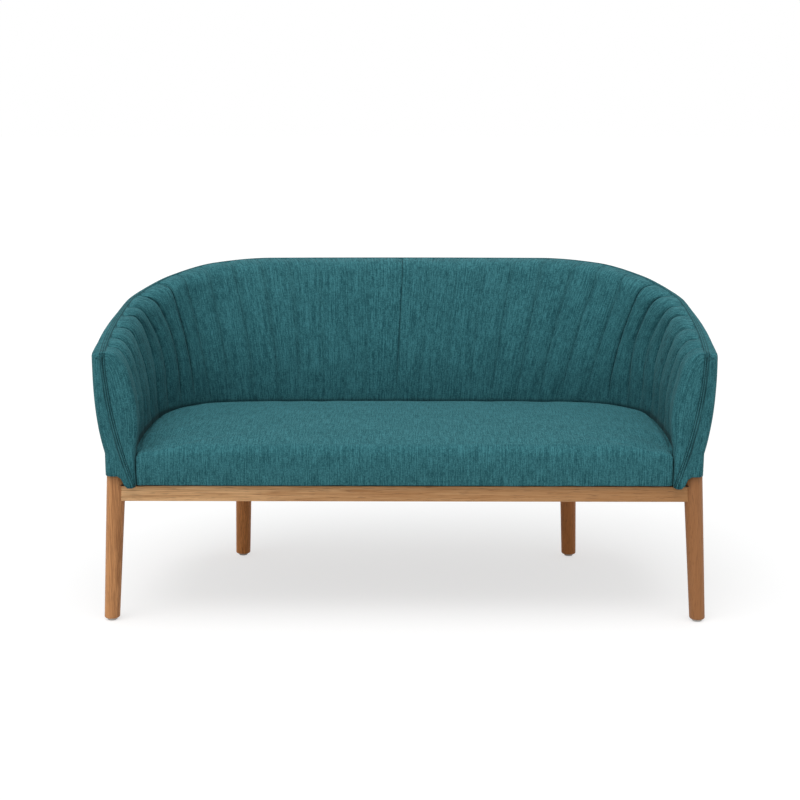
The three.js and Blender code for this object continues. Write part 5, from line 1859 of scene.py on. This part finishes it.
@dataclass(frozen=True)
class SlubCloth:
    """The heathered teal upholstery cloth."""

    name: str = "teal_slub_cloth"
    dark: Tone = (28, 80, 88)
    light: Tone = (70, 136, 144)
    # Colour of dark seam lines, and of the painted shade that the cloth darkens towards.
    seam: Tone = (12, 40, 45)
    bloom: Tone = (150, 205, 205)
    bump: Pair = (0.5, 0.0007)

    def material(self, shop: Workshop) -> Material:
        """Return the cloth's material.

        Args:
            shop: Holds the shared effects.

        Returns:
            The new material.
        """
        constants = {
            "Specular IOR Level": 0.2, "Sheen Weight": 0.12, "Sheen Roughness": 0.4,
            "Sheen Tint": tone(*self.bloom),
        }
        material, sheet, shader = shop.material(self.name, constants)
        # The fold mark holds painted shade; the seam mark holds seam lines with painted crease,
        # contact and lip shade.
        cloth, seam, fold = (
            sheet.add("Attribute", attribute_name=name).outputs[socket]
            for name, socket in (("cloth", "Vector"), ("seam", "Fac"), ("fold", "Fac"))
        )
        feeds = {
            "Cloth": cloth, "Seam": seam, "Fold": fold, "Dark yarn": tone(*self.dark),
            "Light yarn": tone(*self.light), "Seam shade": tone(*self.seam),
        }
        weave = shop.place(sheet, Effect.WEAVE, feeds).outputs
        sheet.surface(shader, weave["Colour"], weave["Roughness"], weave["Height"], self.bump)
        return material


@dataclass(frozen=True)
class OiledWood:
    """The light oiled hardwood of the base, its grain along one axis."""

    grain: Grain
    name: str = "oiled_wood"
    pale: Tone = (243, 194, 140)
    deep: Tone = (180, 126, 76)
    pore: Tone = (104, 68, 40)
    bump: Pair = (0.35, 0.0004)

    def material(self, shop: Workshop) -> Material:
        """Return the wood's material.

        Args:
            shop: Holds the shared effects.

        Returns:
            The new material.
        """
        name = f"{self.name}_{self.grain.name.lower()}"
        material, sheet, shader = shop.material(name, {"Specular IOR Level": 0.35})
        place = sheet.add("TexCoord").outputs["Object"]
        parts = sheet.add("SeparateXYZ", {0: place}).outputs
        order = {socket: parts[axis] for socket, axis in enumerate(self.grain.value)}
        feeds = {
            "Along grain": sheet.add("CombineXYZ", order).outputs[0], "Across base": parts[0],
            "Pale wood": tone(*self.pale), "Deep wood": tone(*self.deep), "Pore": tone(*self.pore),
        }
        grain = shop.place(sheet, Effect.GRAIN, feeds).outputs
        sheet.surface(shader, grain["Colour"], grain["Roughness"], grain["Height"], self.bump)
        return material


@dataclass(frozen=True)
class Speckled:
    """A plain workshop material with a fine speckle: foam, board, plastic, metal or cloth."""

    name: str
    first: Tone
    second: Tone
    scale: Triple
    roughness: float
    metallic: float = 0.0
    bump: Pair = (0.3, 0.0006)
    roughness_spread: float = 0.06

    def material(self, shop: Workshop) -> Material:
        """Return the material.

        Args:
            shop: Holds the shared effects.

        Returns:
            The new material.
        """
        material, sheet, shader = shop.material(self.name, {"Metallic": self.metallic})
        place = sheet.scaled(sheet.add("TexCoord").outputs["Object"], self.scale)
        feeds = {"Place": place, "First": tone(*self.first), "Second": tone(*self.second)}
        speckle = shop.place(sheet, Effect.SPECKLE, feeds).outputs
        low, high = self.roughness - self.roughness_spread, self.roughness + self.roughness_spread
        rough = sheet.between(speckle["Mask"], 0.0, 1.0, low, high)
        sheet.surface(shader, speckle["Colour"], rough, speckle["Mask"], self.bump)
        return material


class Finish(Enum):
    """All the finishes of the settee, by their use."""

    CLOTH = SlubCloth()
    THREAD = Speckled("teal_thread", (32, 92, 99), (56, 118, 124), (2500.0,) * 3, 0.7)
    RAIL_WOOD = OiledWood(Grain.ACROSS)
    DEEP_WOOD = OiledWood(Grain.DEEP)
    LEG_WOOD = OiledWood(
        Grain.UPRIGHT, "front_leg_wood", (220, 156, 100), (160, 106, 62), (98, 60, 34),
    )
    # The back legs' copy of the leg wood, warmer and more saturated: painted warm bounce light in
    # the shade under the seat.
    BACK_LEG_WOOD = OiledWood(
        Grain.UPRIGHT, "back_leg_wood", (248, 166, 93), (184, 114, 58), (105, 60, 32),
    )
    PLYWOOD = Speckled(
        "birch_plywood", (214, 186, 142), (176, 142, 98), (40.0, 40.0, 700.0), 0.7,
    )
    BOARD = Speckled("brown_fibreboard", (150, 118, 84), (120, 92, 62), (420.0,) * 3, 0.88)
    STEEL = Speckled(
        "zinc_steel", (176, 178, 182), (140, 142, 146), (600.0,) * 3, 0.38, 1.0, (0.1, 0.0006),
    )
    PLASTIC = Speckled("glide_plastic", (226, 224, 218), (212, 210, 204), (500.0,) * 3, 0.45)
    WEBBING = Speckled("black_webbing", (34, 34, 36), (58, 58, 60), (900.0, 160.0, 900.0), 0.85)
    DUST_CLOTH = Speckled("black_dust_cloth", (24, 24, 26), (44, 44, 47), (1400.0,) * 3, 0.95)


@dataclass(frozen=True)
class Assembly:
    """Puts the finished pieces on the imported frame."""

    materials: dict[Finish, Material]

    def mount(self, piece: Piece, finish: Finish, slot: str, *nodes: str) -> None:
        """Dress a piece, set it on the frame and hide the nodes it stands for.

        Args:
            piece: The piece.
            finish: Its finish.
            slot: The record's slot for that finish; not used.
            nodes: The nodes that it replaces.
        """
        piece.data.materials.clear()
        piece.data.materials.append(self.materials[finish])
        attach(piece, "root")
        if nodes:
            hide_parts(*nodes)
        count = len(piece.data.polygons)
        LOG.info("piece %s: %d faces, stands for %s", piece.name, count, nodes or "detail")


@dataclass(frozen=True)
class Upholstery:
    """The covers, their double seam, the bench seat and the dust cloth."""

    wall: TubWall = TubWall()
    foams: tuple[str, ...] = (
        "back_foam", "corner_foam_left", "corner_foam_right", "arm_foam_left", "arm_foam_right",
    )

    def build(self, assembly: Assembly) -> None:
        """Build, dress and mount every soft piece.

        Args:
            assembly: Puts them on the frame.
        """
        inner = InnerCover(self.wall).build()
        assembly.mount(inner, Finish.CLOTH, "upholstery", "inner_cover", *self.foams)
        outer_cover = OuterCover(self.wall)
        assembly.mount(outer_cover.build(), Finish.CLOTH, "upholstery", "outer_cover")
        thread = SeamThread().build(outer_cover.stitch_runs())
        assembly.mount(thread, Finish.THREAD, "upholstery")
        pad, nodes = SeatPad(self.wall).build(), ("seat_cover", "seat_foam", "front_edge_foam")
        assembly.mount(pad, Finish.CLOTH, "upholstery", *nodes)
        dust = DustCloth(self.wall).build()
        assembly.mount(dust, Finish.DUST_CLOTH, "dust_cloth", "dust_cover")


@dataclass(frozen=True)
class Base:
    """The wooden base: four turned legs and the eased front rail, bored for their bolts.

    Splay and rake are in degrees, and radii are given at the foot and at the top.
    """

    front_top: Pair = (0.632, -0.32)
    front_height: float = 0.334
    front_splay: float = 3.66
    front_radii: Pair = (0.0171, 0.0208)
    back_foot: Pair = (0.4165, 0.18)
    back_height: float = 0.311
    back_splay: float = 1.9
    back_rake: float = 3.0
    back_radii: Pair = (0.018, 0.021)
    bolt_clearance: float = 0.0004
    head_top: float = 0.2775
    head_room: float = 0.004

    def legs(self) -> list[Leg]:
        """Return the four legs.

        Returns:
            The left front and back leg, then the right ones.
        """
        (front_x, front_y), (back_x, back_y) = self.front_top, self.back_foot
        front_spread = self.front_height * math.tan(math.radians(self.front_splay))
        back_spread = self.back_height * math.tan(math.radians(self.back_splay))
        rake = self.back_height * math.tan(math.radians(self.back_rake))
        legs = []
        for side in Side:
            out = side.value
            foot, top = (out * (front_x + front_spread), front_y), (out * front_x, front_y)
            name = f"turned_front_leg_{side.label}"
            legs.append(Leg(name, foot, top, self.front_height, *self.front_radii))
            foot, top = (out * back_x, back_y), (out * (back_x - back_spread), back_y - rake)
            name = f"turned_back_leg_{side.label}"
            legs.append(Leg(name, foot, top, self.back_height, *self.back_radii))
        return legs

    def build(self, assembly: Assembly) -> None:
        """Build, dress and mount the legs and the front rail.

        Args:
            assembly: Puts them on the frame.
        """
        legs = self.legs()
        for leg in legs:
            piece = leg.build()
            node = leg.name.replace("turned_", "")
            self.bore(piece, [node.replace("leg", "leg_bolt")])
            # The back legs take the shade-tinted copy of the leg wood: painted bounce light in
            # their shade.
            wood = Finish.LEG_WOOD if "front" in node else Finish.BACK_LEG_WOOD
            assembly.mount(piece, wood, "oiled_wood", node)
        rail = FrontRail(legs[0], legs[2]).build()
        bolts = [f"front_{kind}_bolt_{side.label}" for kind in ("leg", "body") for side in Side]
        self.bore(rail, bolts)
        assembly.mount(rail, Finish.RAIL_WOOD, "oiled_wood", "front_rail")

    def bore(self, piece: Piece, bolts: Sequence[str]) -> None:
        """Cut a clearance hole for each bolt into a piece.

        Args:
            piece: The piece.
            bolts: Names of the bolts' nodes.
        """
        for bolt in bolts:
            source = bpy.data.objects[bolt].data
            points = np.empty(len(source.vertices) * 3)
            source.vertices.foreach_get("co", points)
            points = points.reshape(-1, 3)
            faces = [list(face.vertices) for face in source.polygons]
            away = points - points.mean(axis=0)
            away = away / np.maximum(np.linalg.norm(away, axis=1, keepdims=True), 1e-9)
            points = points + away * self.bolt_clearance
            if "body" in bolt:
                points[points[:, 2] < self.head_top, 2] -= self.head_room
            cutter = mesh_object("bolt_clearance", points, faces)
            cut = piece.modifiers.new("bolt_hole", "BOOLEAN")
            cut.operation = "DIFFERENCE"
            cut.solver = "EXACT"
            cut.object = cutter
            graph = bpy.context.evaluated_depsgraph_get()
            bored = bpy.data.meshes.new_from_object(piece.evaluated_get(graph))
            piece.modifiers.remove(cut)
            piece.data = bored
            bpy.data.objects.remove(cutter)


@dataclass(frozen=True)
class HiddenFrame:
    """The carried-over nodes of the frame, each finished by the first word that names it."""

    rules: tuple[tuple[str, Finish], ...] = (
        ("bolt", Finish.STEEL), ("glide", Finish.PLASTIC), ("web", Finish.WEBBING),
        ("liner", Finish.BOARD), ("back_rail", Finish.RAIL_WOOD),
        ("cross_rail", Finish.DEEP_WOOD), ("side_rail", Finish.DEEP_WOOD),
        ("corner_block", Finish.RAIL_WOOD), ("ring", Finish.PLYWOOD), ("post", Finish.PLYWOOD),
        ("top_rail", Finish.PLYWOOD), ("seat_front_rail", Finish.PLYWOOD),
    )

    def build(self, assembly: Assembly) -> None:
        """Dress every node that still shows.

        Args:
            assembly: Holds the finishes.
        """
        for piece in list(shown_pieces()):
            node = piece.get("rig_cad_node")
            if node is None:
                continue
            finish = next((finish for word, finish in self.rules if word in node), None)
            if finish is None:
                LOG.warning("no finish for %s", node)
                continue
            if not piece.material_slots:
                raise ValueError(f"{node} has no material slot")
            for slot in piece.material_slots:
                slot.material = assembly.materials[finish]
            LOG.info("node %s: %s", node, finish.name)


@dataclass(frozen=True)
class Lamp:
    """A soft lamp far above the settee, its angles in degrees."""

    name: str
    energy: float
    softness: float
    tilt: float
    turn: float

    def hang(self) -> None:
        """Put the lamp into the scene."""
        data = bpy.data.lights.new(self.name, "SUN")
        data.energy = self.energy
        data.angle = math.radians(self.softness)
        lamp = bpy.data.objects.new(self.name, data)
        lamp.rotation_euler = (math.radians(self.tilt), 0.0, math.radians(self.turn))
        bpy.context.scene.collection.objects.link(lamp)


@dataclass(frozen=True)
class Studio:
    """The camera, the pale floor and the soft light."""

    lens: float = 67.5
    sensor_width: float = 36.0
    shift: float = -0.006625
    viewpoint: Triple = (0.0246, -3.5189, 1.117)
    look_down: float = 10.917
    look_aside: float = 0.4
    floor_half: float = 60.0
    floor_grey: float = 0.70
    shaded_grey: float = 0.45
    floor_glow: float = 0.64
    room_light: float = 0.41
    lamps: tuple[Lamp, ...] = (
        Lamp("overhead_softbox", 1.38, 50.0, 14.0, -14.0),
        Lamp("front_softbox", 0.46, 60.0, 48.0, -34.0),
    )

    def camera(self) -> None:
        """Make the camera at the photograph's angle."""
        data = bpy.data.cameras.new("camera")
        data.lens = self.lens
        data.sensor_width = self.sensor_width
        data.shift_x = self.shift
        camera = bpy.data.objects.new("camera", data)
        camera.location = self.viewpoint
        pitch = math.radians(90 - self.look_down)
        camera.rotation_euler = (pitch, 0.0, math.radians(self.look_aside))
        bpy.context.scene.collection.objects.link(camera)
        bpy.context.scene.camera = camera

    def floor(self) -> None:
        """Make the floor, white where it is lit and keeping the settee's shadow."""
        half = self.floor_half
        corners = np.array([(-half, -half, 0), (half, -half, 0), (half, half, 0), (-half, half, 0)])
        floor = mesh_object("studio_floor", corners, [[0, 1, 2, 3]])
        floor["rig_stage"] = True
        material = bpy.data.materials.new("pale_floor")
        material.use_nodes = True
        material.node_tree.nodes.clear()
        sheet = NodeSheet(material.node_tree)
        pale = sheet.add("BsdfDiffuse", {"Color": (*(self.floor_grey,) * 3, 1.0)})
        shaded = sheet.add("BsdfDiffuse", {"Color": (*(self.shaded_grey,) * 3, 1.0)})
        seen = sheet.seen()
        glow = sheet.add("Emission", {"Strength": self.floor_glow})
        white = sheet.add("AddShader", {0: shaded.outputs[0], 1: glow.outputs[0]})
        both = sheet.add("MixShader", {0: seen, 1: pale.outputs[0], 2: white.outputs[0]})
        sheet.add("OutputMaterial", {"Surface": both.outputs[0]})
        floor.data.materials.append(material)

    def light(self) -> None:
        """Make the even room light, which is plain white where it is seen, and the soft lamps."""
        world = bpy.data.worlds.new("studio_room")
        bpy.context.scene.world = world
        world.use_nodes = True
        world.node_tree.nodes.clear()
        sheet = NodeSheet(world.node_tree)
        seen = sheet.seen()
        strength = sheet.math("MULTIPLY_ADD", seen, 1 - self.room_light, self.room_light)
        room = sheet.add("Background", {"Color": (1.0, 1.0, 1.0, 1.0), "Strength": strength})
        sheet.add("OutputWorld", {"Surface": room.outputs[0]})
        for lamp in self.lamps:
            lamp.hang()


def main() -> None:
    """Build the settee and its studio."""
    logging.basicConfig(level=logging.INFO, format="%(name)s: %(message)s")
    studio = Studio()
    studio.camera()
    studio.floor()
    studio.light()
    bpy.context.scene.view_settings.view_transform = "Standard"
    shop = Workshop()
    assembly = Assembly({finish: finish.value.material(shop) for finish in Finish})
    Upholstery().build(assembly)
    Base().build(assembly)
    HiddenFrame().build(assembly)


if __name__ == "__main__":
    main()
